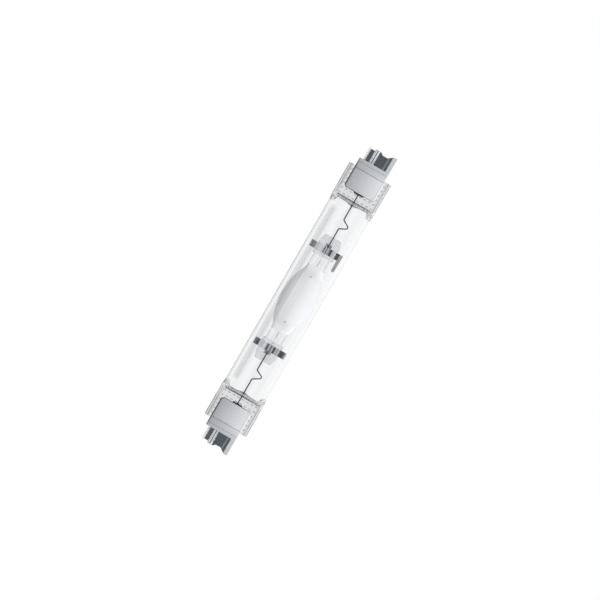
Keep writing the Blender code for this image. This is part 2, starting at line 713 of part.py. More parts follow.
def ceramic_cap(end, side):
    """Stepped block that straddles the seal's web, with a tongue beside the contact."""
    mid_half = CAP_HALF_THICKNESS - CAP_STEP_DROP
    end_half = mid_half - CAP_STEP_DROP
    rings = []
    corner = max(CAP_CHAMFER, CAP_CORNER_RADIUS)
    for i in range(5):
        depth = corner * i / 4
        left = CAP_LEFT - max(0.0, CAP_CHAMFER - depth)
        back = max(0.0, CAP_CORNER_RADIUS - depth)
        right = CAP_RIGHT - CAP_CORNER_RADIUS + math.sqrt(CAP_CORNER_RADIUS**2 - back**2)
        rings.append((CAP_START + depth, right, left, CAP_HALF_THICKNESS))
    rings += [
        (CAP_STEP, CAP_RIGHT, CAP_LEFT, CAP_HALF_THICKNESS),
        (CAP_STEP + CAP_DRAFT, CAP_RIGHT_OUTER, CAP_LEFT, mid_half),
        (CAP_GROOVE, CAP_RIGHT_OUTER, CAP_LEFT, mid_half),
        (CAP_GROOVE + CAP_DRAFT, CAP_RIGHT_OUTER, CAP_LEFT, end_half),
        (CAP_SHOULDER, CAP_RIGHT_OUTER, CAP_LEFT, end_half),
    ]
    obj = loft(f"ceramic_cap_{end}", [block_ring(side * x, *sizes) for x, *sizes in rings], "ceramic")
    tongue_left = TONGUE_WIDTH - CAP_RIGHT_OUTER
    tongue = loft(
        "cap_tongue",
        [block_ring(side * x, CAP_RIGHT_OUTER, tongue_left, end_half) for x in (CAP_GROOVE + THROUGH, CAP_END)],
    )
    cut(obj, tongue, "UNION")
    xs = sorted((side * (CAP_START - THROUGH), side * slot_end()))
    past = CAP_LEFT + THROUGH
    half = slot_half_height()
    cut(obj, box("cap_slot", (xs[0], -past, -half), (xs[1], past, half)))
    floor = plate_level() - PLATE_THICKNESS / 2 - GAP
    roof = PIN_RADIUS + GAP
    xs = sorted((side * (CAP_SHOULDER - POCKET_DEPTH), side * (CAP_SHOULDER + THROUGH)))
    pocket_left = PLATE_LIP_SIDE + PLATE_THICKNESS / 2 + GAP
    cut(obj, box("cap_pocket", (xs[0], tongue_left, floor), (xs[1], pocket_left, roof)))
    clear = LEAD_RADIUS + GAP
    xs = sorted((side * (slot_end() - THROUGH), side * (CAP_SHOULDER - POCKET_DEPTH / 2)))
    cut(obj, box("lead_hole", (xs[0], -clear, -clear), (xs[1], PIN_SIDE + clear, clear)))


def cap_cement(end, side):
    """Cement wrapped round the seal's outer end, with a hole for the lead."""
    inner_half = SEAL_WEB_HALF + GAP
    outer_half = inner_half + CEMENT_THICKNESS
    start = CAP_START + CEMENT_SET_BACK
    inner_end = SEAL_END + GAP
    outer_end = inner_end + CEMENT_THICKNESS
    outline = [
        (start, outer_half),
        (outer_end, outer_half),
        (outer_end, -outer_half),
        (start, -outer_half),
        (start, -inner_half),
        (inner_end, -inner_half),
        (inner_end, inner_half),
        (start, inner_half),
    ]
    right = CAP_RIGHT_OUTER - CEMENT_SET_BACK
    left = CAP_LEFT - CEMENT_SET_BACK
    points = [Vector((side * x, -right, z)) for x, z in outline]
    obj = prism(f"cap_cement_{end}", points, Vector((0, right + left, 0)), "cement")
    clear = LEAD_RADIUS + GAP
    xs = sorted((side * (inner_end - THROUGH), side * (outer_end + THROUGH)))
    cut(obj, box("cement_hole", (xs[0], -clear, -clear), (xs[1], PIN_SIDE + clear, clear)))


def contact_plate(end, side):
    """Sheet folded to a channel, with a notched outer end."""
    level = plate_level()
    middle = [
        Vector((0, PLATE_LIP_SIDE, PLATE_LIP_HEIGHT)),
        Vector((0, PLATE_LIP_SIDE, level)),
        Vector((0, -PLATE_FOLD_SIDE, level)),
        Vector((0, -PLATE_FOLD_SIDE - PLATE_FOLD_WIDTH, level + PLATE_FOLD_RISE)),
        Vector((0, -PLATE_FLANGE_SIDE, level + PLATE_FOLD_RISE)),
    ]
    outer, inner = strip_outline(middle, PLATE_THICKNESS, closed=False)
    start = CAP_SHOULDER - POCKET_DEPTH + GAP
    length = Vector((side * (CAP_END - start), 0, 0))
    points = [Vector((side * start, p.y, p.z)) for p in outer + inner[::-1]]
    obj = prism(f"contact_plate_{end}", points, length, "nickel")
    lip_inner = PLATE_LIP_SIDE - PLATE_THICKNESS
    pin_left = PIN_SIDE + PIN_RADIUS
    slope = PLATE_NOTCH_SET_BACK - PLATE_PIN_SET_BACK
    profile = [
        (PLATE_LIP_SET_BACK, CAP_LEFT),
        (PLATE_LIP_SET_BACK, lip_inner),
        (PLATE_LEFT_SET_BACK, lip_inner),
        (PLATE_LEFT_SET_BACK, pin_left),
        (PLATE_PIN_SET_BACK, pin_left),
        (PLATE_PIN_SET_BACK, PLATE_NOTCH_LEFT + slope),
        (PLATE_NOTCH_SET_BACK, PLATE_NOTCH_LEFT),
        (PLATE_NOTCH_SET_BACK, PLATE_NOTCH_RIGHT),
        (PLATE_RIGHT_SET_BACK, -PLATE_FLANGE_SIDE),
        (PLATE_RIGHT_SET_BACK, -PLATE_FLANGE_SIDE - THROUGH),
        (-THROUGH, -PLATE_FLANGE_SIDE - THROUGH),
        (-THROUGH, CAP_LEFT),
    ]
    low = level - PLATE_THICKNESS
    cutter = prism(
        "plate_end",
        [Vector((side * (CAP_END - set_back), y, low)) for set_back, y in profile],
        Vector((0, 0, PLATE_LIP_HEIGHT - low + THROUGH)),
    )
    cut(obj, cutter)


def build():
    clear_scene()
    outer_envelope()
    arc_tube()
    getter()
    for end, side in ENDS.items():
        electrode(end, side)
        foil(f"arc_foil_{end}", side, ARC_FOIL_START, ARC_FOIL_END, ARC_FOIL_HALF_WIDTH, ARC_FOIL_Z)
        lead_wire(end, side)
        foil(f"seal_foil_{end}", side, SEAL_FOIL_START, SEAL_FOIL_END, SEAL_FOIL_HALF_WIDTH, SEAL_FOIL_Z)
        outer_lead(end, side)
        support_clip(end, side)
        ceramic_cap(end, side)
        cap_cement(end, side)
        contact_plate(end, side)
        contact_pin(end, side)


build()
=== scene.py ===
import math

import bmesh
import bpy
import numpy as np
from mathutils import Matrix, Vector

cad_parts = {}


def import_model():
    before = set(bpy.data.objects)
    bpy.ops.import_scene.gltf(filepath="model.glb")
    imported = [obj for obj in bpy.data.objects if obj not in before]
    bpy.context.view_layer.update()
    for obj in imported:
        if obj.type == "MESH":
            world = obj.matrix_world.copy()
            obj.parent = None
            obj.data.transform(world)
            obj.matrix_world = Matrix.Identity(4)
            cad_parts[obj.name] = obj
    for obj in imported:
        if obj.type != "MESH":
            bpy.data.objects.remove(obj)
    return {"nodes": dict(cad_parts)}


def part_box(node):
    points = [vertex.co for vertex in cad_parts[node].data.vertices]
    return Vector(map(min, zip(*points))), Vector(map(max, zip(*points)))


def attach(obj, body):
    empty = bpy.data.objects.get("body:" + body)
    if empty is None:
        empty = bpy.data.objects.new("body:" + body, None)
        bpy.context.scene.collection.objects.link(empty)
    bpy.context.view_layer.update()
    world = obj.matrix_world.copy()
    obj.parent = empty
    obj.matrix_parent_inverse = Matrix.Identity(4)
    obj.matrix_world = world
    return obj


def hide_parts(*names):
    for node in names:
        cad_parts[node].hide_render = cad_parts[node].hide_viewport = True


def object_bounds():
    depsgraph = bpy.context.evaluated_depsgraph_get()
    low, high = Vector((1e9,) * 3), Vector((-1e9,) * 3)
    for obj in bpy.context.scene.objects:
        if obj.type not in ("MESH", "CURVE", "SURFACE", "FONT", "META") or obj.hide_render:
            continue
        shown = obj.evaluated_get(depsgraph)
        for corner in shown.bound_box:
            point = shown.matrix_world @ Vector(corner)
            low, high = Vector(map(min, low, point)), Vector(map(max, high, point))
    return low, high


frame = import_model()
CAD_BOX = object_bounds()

# The lamp lies along X, with end a at +X and its press seals flat in the XY plane. +Y is its left side in
# the photograph. Sizes are in metres, in the frame's own axes.
MM = 0.001
ENDS = {"a": 1, "b": -1}

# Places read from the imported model
SEAL_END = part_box("outer_envelope")[1].x
SEAL_HALF_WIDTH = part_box("outer_envelope")[1].y
ARC_SEAL_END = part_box("arc_tube")[1].x
CLIP_INNER, CLIP_OUTER = (corner.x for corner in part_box("support_clip_a"))
CLIP_HALF_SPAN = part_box("support_clip_a")[1].y
CAP_START, CAP_END = (corner.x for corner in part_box("ceramic_cap_a"))
CAP_RIGHT = -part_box("ceramic_cap_a")[0].y
CAP_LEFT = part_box("ceramic_cap_a")[1].y
CAP_HALF_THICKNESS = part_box("ceramic_cap_a")[1].z
WIRE_START, WIRE_END = (corner.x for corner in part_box("lead_wire_a"))

# Outer envelope
TUBE_RADIUS = 11.0 * MM
TUBE_WALL = 2.0 * MM
BORE_RADIUS = TUBE_RADIUS - TUBE_WALL
TUBE_HALF_LENGTH = 48.5 * MM
SPREAD_LENGTH = 4.0 * MM
PRESS_START = 52.2 * MM
PRESS_LENGTH = 1.7 * MM
RIB_PRESS_START = 49.4 * MM
RIB_PRESS_FROM = 7.0 * MM
RIB_PRESS_TO = TUBE_RADIUS - 1.0 * MM
PRESS_ARCH = 0.35 * MM
SEAL_START = PRESS_START + PRESS_LENGTH
WEB_HALF = 2.0 * MM
RIB_HALF = 3.2 * MM
RIB_RADIUS = 0.8 * MM
RIB_FILLET = 0.6 * MM
RIB_TURN = math.radians(33)
HOLLOW_SET_BACK = 0.1 * MM
HOLLOW_END_TAPER = 1.0 * MM
HOLLOW_END_LENGTH = 0.8 * MM
HOLLOW_PRESSED_HALF = 0.7 * MM
SEAL_END_LENGTH = 0.3 * MM
SEAL_END_INSET = 0.25 * MM
MARK_PITCH = 2.48 * MM
MARK_HALF_LENGTH = 0.6 * MM
MARK_HALF_WIDTH = 0.26 * MM
MARK_HEIGHT = 0.12 * MM
MARK_ROW_START = 54.6 * MM
MARK_SIDE_LIMIT = 9.3 * MM
TUBE_RINGS = [16 * MM, 32 * MM]
FINE_RINGS_END = 60 * MM

# Arc tube
BODY_HALF_LENGTH = 17.6 * MM
BODY_RADIUS = 8.6 * MM
NECK_HALF_WIDTH = 4.55 * MM
NECK_HALF_THICKNESS = 2.6 * MM
NECK_FLAT_START = 11.5 * MM
NECK_PRESSED = 17.4 * MM
BEAD_START = 23.4 * MM
BEAD_END = 24.8 * MM
BEAD_HALF_WIDTH = 5.6 * MM
BEAD_HALF_THICKNESS = 2.9 * MM
GRIP_HALF_WIDTH = 5.45 * MM
GRIP_HALF_THICKNESS = 2.1 * MM
GRIP_END = 30.0 * MM
LOBE_HALF_WIDTH = 4.4 * MM
LOBE_HALF_THICKNESS = 1.9 * MM
LOBE_DIP = 0.5 * MM
LOBE_DIP_HALF_WIDTH = 0.9 * MM
FLUTE_PITCH = 1.6 * MM
FLUTE_DEPTH = 0.2 * MM
COATING_START = 12.8 * MM
COATING_END = 17.9 * MM
COATING_SAG = 0.9 * MM

# Foils, wires and clips
FOIL_NECK_HALF_WIDTH = 0.1 * MM
# How far the foil runs on past its end into the grip, as a dark sheet of painted shadow round the wire.
FOIL_SHADOW_REACH = 1.8 * MM
WIRE_RADIUS = 0.3 * MM
KINK_IN = 39.0 * MM
KINK_TIP = 41.1 * MM
KINK_OUT = 43.9 * MM
KINK_REACH = 4.4 * MM
KINK_TIP_RADIUS = 0.8 * MM
KINK_FOOT_RADIUS = 0.6 * MM
CLIP_THICKNESS = 0.35 * MM
CLIP_EDGE = 0.05 * MM

# Ceramic caps
CAP_STEP = 68.35 * MM
CAP_GROOVE = 71.5 * MM
CAP_SHOULDER = 73.4 * MM
CAP_SIDE_STEP = 0.45 * MM
CAP_STEP_DROP = 0.25 * MM
CAP_GROOVE_DEPTH = 0.26 * MM
CAP_GROOVE_BEFORE = 0.12 * MM
CAP_GROOVE_AFTER = 0.3 * MM
CAP_BEVEL = 0.18 * MM
CAP_CHAMFER = 1.0 * MM
CAP_EDGE_RADIUS = 1.0 * MM
CAP_EDGE_FROM = 5.0 * MM
CAP_CORNER_RADIUS = 1.5 * MM
TONGUE_WIDTH = 2.0 * MM
TONGUE_SIDE = CAP_RIGHT - CAP_SIDE_STEP
SLOT_HALF_HEIGHT = 3.1 * MM
SLOT_CLEARANCE = 1.1 * MM
POCKET_DEPTH = 1.4 * MM
POCKET_CLEARANCE = 0.3 * MM
TONGUE_CLEARANCE = 0.02 * MM
CUT_PAST = 1.0 * MM

# Contact
PIN_RADIUS = 1.25 * MM
PIN_SIDE = 2.24 * MM
PIN_END_ROUND = 0.25 * MM
PIN_DIMPLE_RADIUS = 0.45 * MM
PIN_DIMPLE_DEPTH = 0.12 * MM
# Where the pin's painted dark reflection line lies, across from the pin's middle
PIN_SHADE_FROM = -0.55 * MM
PIN_SHADE_TO = 0.1 * MM
PLATE_THICKNESS = 0.6 * MM
PLATE_LEVEL = -1.85 * MM
PLATE_LIP_SIDE = 6.2 * MM
PLATE_LIP_HEIGHT = 1.0 * MM
PLATE_FOLD_SIDE = 3.8 * MM
PLATE_FOLD_WIDTH = 0.6 * MM
PLATE_FOLD_RISE = 0.35 * MM
PLATE_FLANGE_SIDE = 5.72 * MM
PLATE_EDGE = 0.08 * MM
PLATE_SPACING = 0.12 * MM

# Tones of the envelope by place, painted shade and a painted dark reflection: a grey strip along the tube,
# greyer seals with dark rails, a dark band at the press step, dark marks by the bars on the web and grey
# corners on the right, which are also milky. Each pair is where a tone begins and where it is full
TONE_FADE = 0.4 * MM
STRIP_RIGHT = (5.6 * MM, 7.2 * MM)
STRIP_LEFT = (9.1 * MM, 8.8 * MM)
STRIP_END = (48.5 * MM, 45.5 * MM)
LEFT_RAIL = (9.8 * MM, 10.2 * MM)
RIGHT_LINE_INNER = (-9.5 * MM, -9.8 * MM)
RIGHT_LINE_OUTER = (-10.5 * MM, -10.2 * MM)
MARKS_SIDE = (9.6 * MM, 9.2 * MM)
BAND_START = (PRESS_START - 0.9 * MM, PRESS_START - 0.4 * MM)
BAND_END = (SEAL_START - 0.1 * MM, SEAL_START - 0.4 * MM)
BAND_SIDE = (9.0 * MM, 8.4 * MM)
# The band's shift outward times the square of the distance from the middle, in 1/m
BAND_CURVE = 5.0
CORNER_SIDE = (9.2 * MM, 9.8 * MM)
CORNER_START = (48.8 * MM, 50.0 * MM)
INNER_CORNER_SIDE = (8.4 * MM, 9.0 * MM)
INNER_CORNER_START = (51.8 * MM, 52.4 * MM)

# Tones of the arc tube, most of them painted light and shade: a lighter left side, a darker stripe and a
# straight edge as painted reflections, a lighter flank, dark dots as painted shadows of the electrode tips,
# and grey outlines on the necks
BODY_LIFT = (-4.0 * MM, 4.0 * MM)
BODY_EDGE = (4.0 * MM, 4.6 * MM)
BODY_FLANK = (4.6 * MM, 6.8 * MM)
STRIPE_RIGHT = (-0.4 * MM, 0.4 * MM)
STRIPE_LEFT = (3.5 * MM, 3.0 * MM)
DOT_PLACE = 12.3 * MM
DOT_EDGE = (0.55 * MM, 0.25 * MM)
COATING_RAGGED = 0.3 * MM
COATED = (COATING_START - 0.15 * MM, COATING_START + 0.15 * MM)
CLEARED = (COATING_END - 0.12 * MM, COATING_END + 0.12 * MM)
NECK_RIM = (NECK_HALF_WIDTH - 0.4 * MM, NECK_HALF_WIDTH - 0.15 * MM)
GRIP = (BEAD_START - 0.2 * MM, BEAD_START + 0.4 * MM)

# Tones of the clips, all painted shade on ears, folds and tips, whose folds also have their share at end a,
# their share at end b and their tone
EAR_SHIFT = 0.45 * MM
EAR_START = (5.0 * MM, 5.5 * MM)
EAR_END = (8.0 * MM, 7.2 * MM)
TIP_START = (7.2 * MM, 7.8 * MM)
CLIP_FOLD_SHADES = [
    ((-2.75 * MM, -2.6 * MM), (-1.65 * MM, -1.8 * MM), 1.0, 1.0, (0.05, 0.052, 0.058)),
    ((0.7 * MM, 1.0 * MM), (2.3 * MM, 1.9 * MM), 0.0, 0.7, (0.22, 0.225, 0.24)),
    ((-2.6 * MM, -3.0 * MM), (-4.6 * MM, -4.2 * MM), 0.5, 0.5, (0.45, 0.46, 0.48)),
]

# Tones of the caps: painted shade darker towards the left side, a painted dark line along the left edge, a
# painted light rim on the right, and a darker contact end
CAP_SHADE_SIDE = 8.3 * MM
CAP_EDGE_SHADE_AND_HIGHLIGHT = [
    ((CAP_LEFT - 1.0 * MM, CAP_LEFT - 0.4 * MM), (0.17, 0.175, 0.185)),
    ((CAP_LEFT - 0.5 * MM, CAP_LEFT - 0.2 * MM), (0.05, 0.052, 0.056)),
    ((0.5 * MM - CAP_RIGHT, 0.2 * MM - CAP_RIGHT), (0.84, 0.845, 0.86)),
]
CAP_END_TONE = (CAP_STEP, CAP_SHOULDER + 1.0 * MM)

# Studio
FLOOR_HALF = 3.0
FLOOR_GAP = 0.05 * MM
CAMERA_PLACE = (0.25 * MM, -1.01 * MM, 1592.8 * MM)
CAMERA_TURN = math.radians(-60)


def ease(share):
    """A share between 0 and 1, eased at both ends."""
    share = min(max(share, 0.0), 1.0)
    return share * share * (3 - 2 * share)


def mesh_object(name, bm, angle=35):
    """An object from a bmesh, smooth apart from its sharp edges."""
    mesh = bpy.data.meshes.new(name)
    bm.to_mesh(mesh)
    bm.free()
    mesh.shade_smooth()
    mesh.set_sharp_from_angle(angle=math.radians(angle))
    obj = bpy.data.objects.new(name, mesh)
    bpy.context.scene.collection.objects.link(obj)
    return obj


def add_loft(bm, rings, ends=True, closed=False):
    """A skin through rings of equally many points, its faces turned out."""
    rows = [[bm.verts.new(point) for point in ring] for ring in rings]
    if closed:
        rows.append(rows[0])
    faces = []
    for near, far in zip(rows, rows[1:]):
        for i, vert in enumerate(near):
            j = (i + 1) % len(near)
            faces.append(bm.faces.new((vert, near[j], far[j], far[i])))
    if ends:
        faces.append(bm.faces.new(rows[0]))
        faces.append(bm.faces.new(rows[-1]))
    bmesh.ops.recalc_face_normals(bm, faces=faces)
    return faces


def piece(obj, material, slot, *nodes):
    """Gives a finished mesh its material and its place in the frame."""
    obj.data.materials.clear()
    obj.data.materials.append(material)
    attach(obj, "root")
    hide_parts(*nodes)


def bevel(obj, width, segments, angle):
    """Bevels the edges that are sharper than an angle."""
    modifier = obj.modifiers.new("edges", "BEVEL")
    modifier.width = width
    modifier.segments = segments
    modifier.limit_method = "ANGLE"
    modifier.angle_limit = math.radians(angle)


def cut(obj, cutter):
    """Takes the cutter's shape out of an object, then removes the cutter."""
    modifier = obj.modifiers.new("cut", "BOOLEAN")
    modifier.object = cutter
    modifier.operation = "DIFFERENCE"
    modifier.solver = "EXACT"
    graph = bpy.context.evaluated_depsgraph_get()
    mesh = bpy.data.meshes.new_from_object(obj.evaluated_get(graph))
    obj.modifiers.remove(modifier)
    old = obj.data
    obj.data = mesh
    bpy.data.meshes.remove(old)
    bpy.data.objects.remove(cutter)


# Materials


def node(tree, kind, **sockets):
    """A shader node with its named sockets set."""
    made = tree.nodes.new(kind)
    for name, value in sockets.items():
        made.inputs[name.replace("_", " ")].default_value = value
    return made


def place(tree):
    """Object coordinates in metres."""
    return tree.nodes.new("ShaderNodeTexCoord").outputs["Object"]


def shader_material(name, **sockets):
    """A material, its Principled shader and its coordinates. Uniform values go on the shader's sockets."""
    made = bpy.data.materials.new(name)
    made.use_nodes = True
    shader = made.node_tree.nodes["Principled BSDF"]
    for socket, value in sockets.items():
        shader.inputs[socket.replace("_", " ")].default_value = value
    return made, shader, place(made.node_tree)


def feed(target, **values):
    """Links outputs to a node's inputs by name."""
    for socket, value in values.items():
        target.id_data.links.new(value, target.inputs[socket.replace("_", " ")])


def noise(where, scale, detail=3.0, roughness=0.5, stretch=None):
    """Noise at a scale in cells a metre, stretched along the axes where asked."""
    tree = where.id_data
    if stretch:
        mapping = node(tree, "ShaderNodeMapping", Scale=stretch)
        feed(mapping, Vector=where)
        where = mapping.outputs["Vector"]
    made = node(tree, "ShaderNodeTexNoise", Scale=scale, Detail=detail, Roughness=roughness)
    feed(made, Vector=where)
    return made.outputs["Fac"]


def ramp(value, stops):
    """A colour ramp from (position, grey or colour) stops."""
    made = value.id_data.nodes.new("ShaderNodeValToRGB")
    elements = made.color_ramp.elements
    while len(elements) > 1:
        elements.remove(elements[-1])
    for i, (position, colour) in enumerate(stops):
        element = elements[0] if i == 0 else elements.new(position)
        element.position = position
        element.color = (*colour, 1.0) if hasattr(colour, "__len__") else (colour,) * 3 + (1.0,)
    feed(made, Fac=value)
    return made.outputs["Color"]


def maths(operation, *values):
    """A Math node on numbers and outputs."""
    tree = next(value.id_data for value in values if not isinstance(value, (int, float)))
    made = tree.nodes.new("ShaderNodeMath")
    made.operation = operation
    for i, value in enumerate(values):
        if isinstance(value, (int, float)):
            made.inputs[i].default_value = value
        else:
            tree.links.new(value, made.inputs[i])
    return made.outputs["Value"]


def mapped(value, low, high, to_low=0.0, to_high=1.0, smooth=True):
    """A value's place between two limits, on a scale of its own."""
    made = value.id_data.nodes.new("ShaderNodeMapRange")
    made.interpolation_type = "SMOOTHSTEP" if smooth else "LINEAR"
    feed(made, Value=value)
    for socket, number in zip(("From Min", "From Max", "To Min", "To Max"), (low, high, to_low, to_high)):
        made.inputs[socket].default_value = number
    return made.outputs["Result"]


def product(*values):
    """All the values multiplied together."""
    total = values[0]
    for value in values[1:]:
        total = maths("MULTIPLY", total, value)
    return total


def span(value, start, end):
    """A share that rises over one pair of places and falls over another."""
    return product(mapped(value, *start), mapped(value, *end))


def mixed_colour(share, low, high):
    """A mix of two colours, each given as numbers or as an output."""
    tree = share.id_data
    made = tree.nodes.new("ShaderNodeMix")
    made.data_type = "RGBA"
    feed(made, Factor=share)
    for socket, value in (("A", low), ("B", high)):
        place_in = [s for s in made.inputs if s.name == socket and s.type == "RGBA"][0]
        if hasattr(value, "__len__"):
            place_in.default_value = (*value, 1.0)
        else:
            tree.links.new(value, place_in)
    return [s for s in made.outputs if s.type == "RGBA"][0]


def bump(shader, height, distance, strength):
    """Fine relief on a shader."""
    made = node(shader.id_data, "ShaderNodeBump", Strength=strength, Distance=distance)
    feed(made, Height=height)
    feed(shader, Normal=made.outputs["Normal"])


def axes(where):
    """A place's X, Y and Z."""
    split = where.id_data.nodes.new("ShaderNodeSeparateXYZ")
    feed(split, Vector=where)
    return split.outputs


def web_bar_shade(where, along, across):
    """The share of the dark marks beside the low bars, painted shade in rows and columns on the seal's web.
    """
    row = maths("DIVIDE", maths("SUBTRACT", along, MARK_ROW_START), MARK_PITCH)
    column = maths("SUBTRACT", maths("DIVIDE", across, MARK_PITCH), 0.5)
    row_off, column_off = (
        maths("ABSOLUTE", maths("SUBTRACT", value, maths("ROUND", value)))
        for value in (row, column)
    )
    return product(
        mapped(row_off, 0.13, 0.06),
        mapped(column_off, 0.30, 0.20),
        mapped(along, SEAL_START - TONE_FADE, SEAL_START),
        mapped(across, *MARKS_SIDE),
        mapped(noise(where, 900.0, 2.0), 0.35, 0.6, 0.6, 1.0),
    )


def press_corners(along, across):
    """The share of the corners beside the press step, in two parts that overlap."""
    outer = product(mapped(across, *CORNER_SIDE), mapped(along, *CORNER_START))
    inner = product(mapped(across, *INNER_CORNER_SIDE), mapped(along, *INNER_CORNER_START))
    both = maths("MAXIMUM", outer, inner)
    return product(both, mapped(along, SEAL_START + TONE_FADE, SEAL_START))


def quartz_tint_and_shade(where, y, along, across):
    """A grey strip along the tube as a painted dark reflection; greyer seals with dark rails and marks, and
    a dark band between them, all painted shade.
    """
    # Painted dark reflection: a grey strip along the tube's left side that fades out towards the shoulders.
    strip = product(span(y, STRIP_RIGHT, STRIP_LEFT), mapped(along, *STRIP_END))
    tube = mixed_colour(strip, (0.962, 0.966, 0.97), (0.81, 0.822, 0.836))
    # Painted shade: greyer seals, darker in lines along the ribs' edges.
    line = span(y, RIGHT_LINE_INNER, RIGHT_LINE_OUTER)
    rail_shade = maths("MAXIMUM", mapped(y, *LEFT_RAIL), line)
    seal = mixed_colour(rail_shade, (0.76, 0.77, 0.785), (0.64, 0.655, 0.67))
    tone = mixed_colour(mapped(along, PRESS_START, SEAL_START), tube, seal)
    # Painted shade: a dark band on the steep press step, arched like the step.
    curve = product(maths("POWER", across, 2.0), -BAND_CURVE)
    step = maths("ADD", along, curve)
    press_step_shade = product(span(step, BAND_START, BAND_END), mapped(across, *BAND_SIDE))
    tone = mixed_colour(press_step_shade, tone, (0.50, 0.51, 0.53))
    # Painted shade: dark marks beside the low bars on the web.
    return mixed_colour(web_bar_shade(where, along, across), tone, (0.40, 0.42, 0.45))


def quartz_material():
    """Clear quartz that is rough at the press step and milky at its corners, grey on its corners to the
    right as painted shade, and carrying the envelope's painted tones.
    """
    made, shader, where = shader_material("clear_quartz_finish", Transmission_Weight=1.0, IOR=1.458)
    x, y, _ = axes(where)
    along = maths("ABSOLUTE", x)
    across = maths("ABSOLUTE", y)
    arch_start = PRESS_START - PRESS_ARCH
    start, end = (arch_start - TONE_FADE, arch_start), (SEAL_START + TONE_FADE, SEAL_START)
    moulded = span(along, start, end)
    corner = press_corners(along, across)
    # Painted shade: the corners to the right get a grey base colour.
    right_corner_shade = product(corner, mapped(y, MM, -MM))
    tone = quartz_tint_and_shade(where, y, along, across)
    feed(
        shader,
        Base_Color=mixed_colour(right_corner_shade, tone, (0.76, 0.77, 0.78)),
        Roughness=maths("MAXIMUM", product(moulded, 0.25), product(corner, 0.4)),
        Transmission_Weight=mapped(corner, 0.0, 1.0, 1.0, 0.6, False),
    )
    bump(shader, noise(where, 160.0, 1.0), 0.05 * MM, 0.15)
    return made


def cleared_share(where, y, along):
    """The share of clear glass beyond the coating, whose ragged edge lies further in at the sides."""
    sag = product(maths("POWER", maths("DIVIDE", y, NECK_HALF_WIDTH), 2.0), COATING_SAG)
    ragged = maths("SUBTRACT", noise(where, 900.0, 2.0), 0.5)
    edge = maths("ADD", maths("ADD", along, sag), product(ragged, COATING_RAGGED))
    return mapped(edge, *CLEARED)


def body_cloud_and_painted_light(y, z, along, cloud):
    """Painted light and shade on a cloudy body: lighter to the left up to a straight edge, with a darker
    stripe as a painted reflection, darker past the edge and lighter again over the flank, a dark dot on top
    near each end as the painted shadow of an electrode tip, and coated ends darker past the edge.
    """
    cloudy = mapped(cloud, 0.3, 0.7)
    # Painted light: the base is lighter to the left, where less light falls, and darker to the right.
    right = mixed_colour(cloudy, (0.79, 0.795, 0.81), (0.82, 0.825, 0.84))
    left = mixed_colour(cloudy, (0.955, 0.96, 0.97), (0.975, 0.98, 0.985))
    tone = mixed_colour(mapped(y, *BODY_LIFT), right, left)
    # Painted reflection: a darker stripe along the body, just left of its middle.
    stripe_reflection = product(span(y, STRIPE_RIGHT, STRIPE_LEFT), 0.45)
    tone = mixed_colour(stripe_reflection, tone, (0.80, 0.805, 0.82))
    # Painted shade past a straight edge on the left, with painted light rising over the flank beyond it.
    past_shade_edge = mapped(y, *BODY_EDGE)
    flank_light = mixed_colour(mapped(y, *BODY_FLANK), (0.87, 0.875, 0.895), (0.985, 0.985, 0.99))
    tone = mixed_colour(past_shade_edge, tone, flank_light)
    # Painted shadow: a dark dot on top where each electrode tip lies behind the frosting.
    off_along = maths("POWER", maths("SUBTRACT", along, DOT_PLACE), 2.0)
    off = maths("SQRT", maths("ADD", maths("POWER", y, 2.0), off_along))
    tip_shadow = product(mapped(off, *DOT_EDGE), maths("GREATER_THAN", z, 0.0))
    tone = mixed_colour(tip_shadow, tone, (0.40, 0.41, 0.43))
    coating = mixed_colour(past_shade_edge, (0.88, 0.885, 0.895), (0.84, 0.845, 0.855))
    return mixed_colour(mapped(along, *COATED), tone, coating)


def neck_tone(y, along, rim, grip):
    """Clear necks with faint lines along the flute crests and a grey outline darker on the left, both
    painted shade, and a greyer grip.
    """
    # Painted shade: a grey outline at the neck's edges, darker on the left.
    outline = mixed_colour(mapped(y, -MM, MM), (0.70, 0.71, 0.72), (0.50, 0.51, 0.525))
    wave = maths("COSINE", maths("MULTIPLY", y, math.tau / FLUTE_PITCH))
    fluted = mapped(along, NECK_PRESSED, NECK_PRESSED + MM)
    # Painted shade: faint dark lines along the flute crests.
    flute_shade = product(mapped(wave, 0.4, 0.95), fluted)
    neck = mixed_colour(flute_shade, (0.985, 0.988, 0.99), (0.93, 0.935, 0.94))
    neck = mixed_colour(rim, neck, outline)
    return mixed_colour(grip, neck, (0.76, 0.765, 0.775))


def arc_material():
    """Frosted body, white coated ends and clear fluted necks, in one piece of quartz, with painted light and
    shade on the body and necks.
    """
    made, shader, where = shader_material("arc_quartz_finish", IOR=1.458)
    x, y, z = axes(where)
    along = maths("ABSOLUTE", x)
    clear = cleared_share(where, y, along)
    grip = mapped(along, *GRIP)
    rim = mapped(maths("ABSOLUTE", y), *NECK_RIM)
    cloud = noise(where, 350.0, 4.0, 0.6)
    body = body_cloud_and_painted_light(y, z, along, cloud)
    neck = neck_tone(y, along, rim, grip)
    short_of_grip = mapped(grip, 0.0, 1.0, 1.0, 0.0)
    # Painted shade: the neck's rim lets less light through, more so on the left, so that its grey outline
    # shows.
    outline = product(rim, mapped(y, -MM, MM, 0.25, 0.6), short_of_grip)
    frosted = mapped(cloud, 0.3, 0.7, 0.34, 0.46)
    glassy = product(grip, mapped(cloud, 0.3, 0.7, 0.12, 0.34))
    rough = node(where.id_data, "ShaderNodeMix")
    feed(rough, Factor=clear, A=frosted, B=glassy)
    feed(
        shader,
        Base_Color=mixed_colour(clear, body, neck),
        Roughness=rough.outputs["Result"],
        Transmission_Weight=product(clear, maths("SUBTRACT", 1.0, outline)),
    )
    bump(shader, noise(where, 2500.0, 3.0), 0.02 * MM, 0.3)
    return made


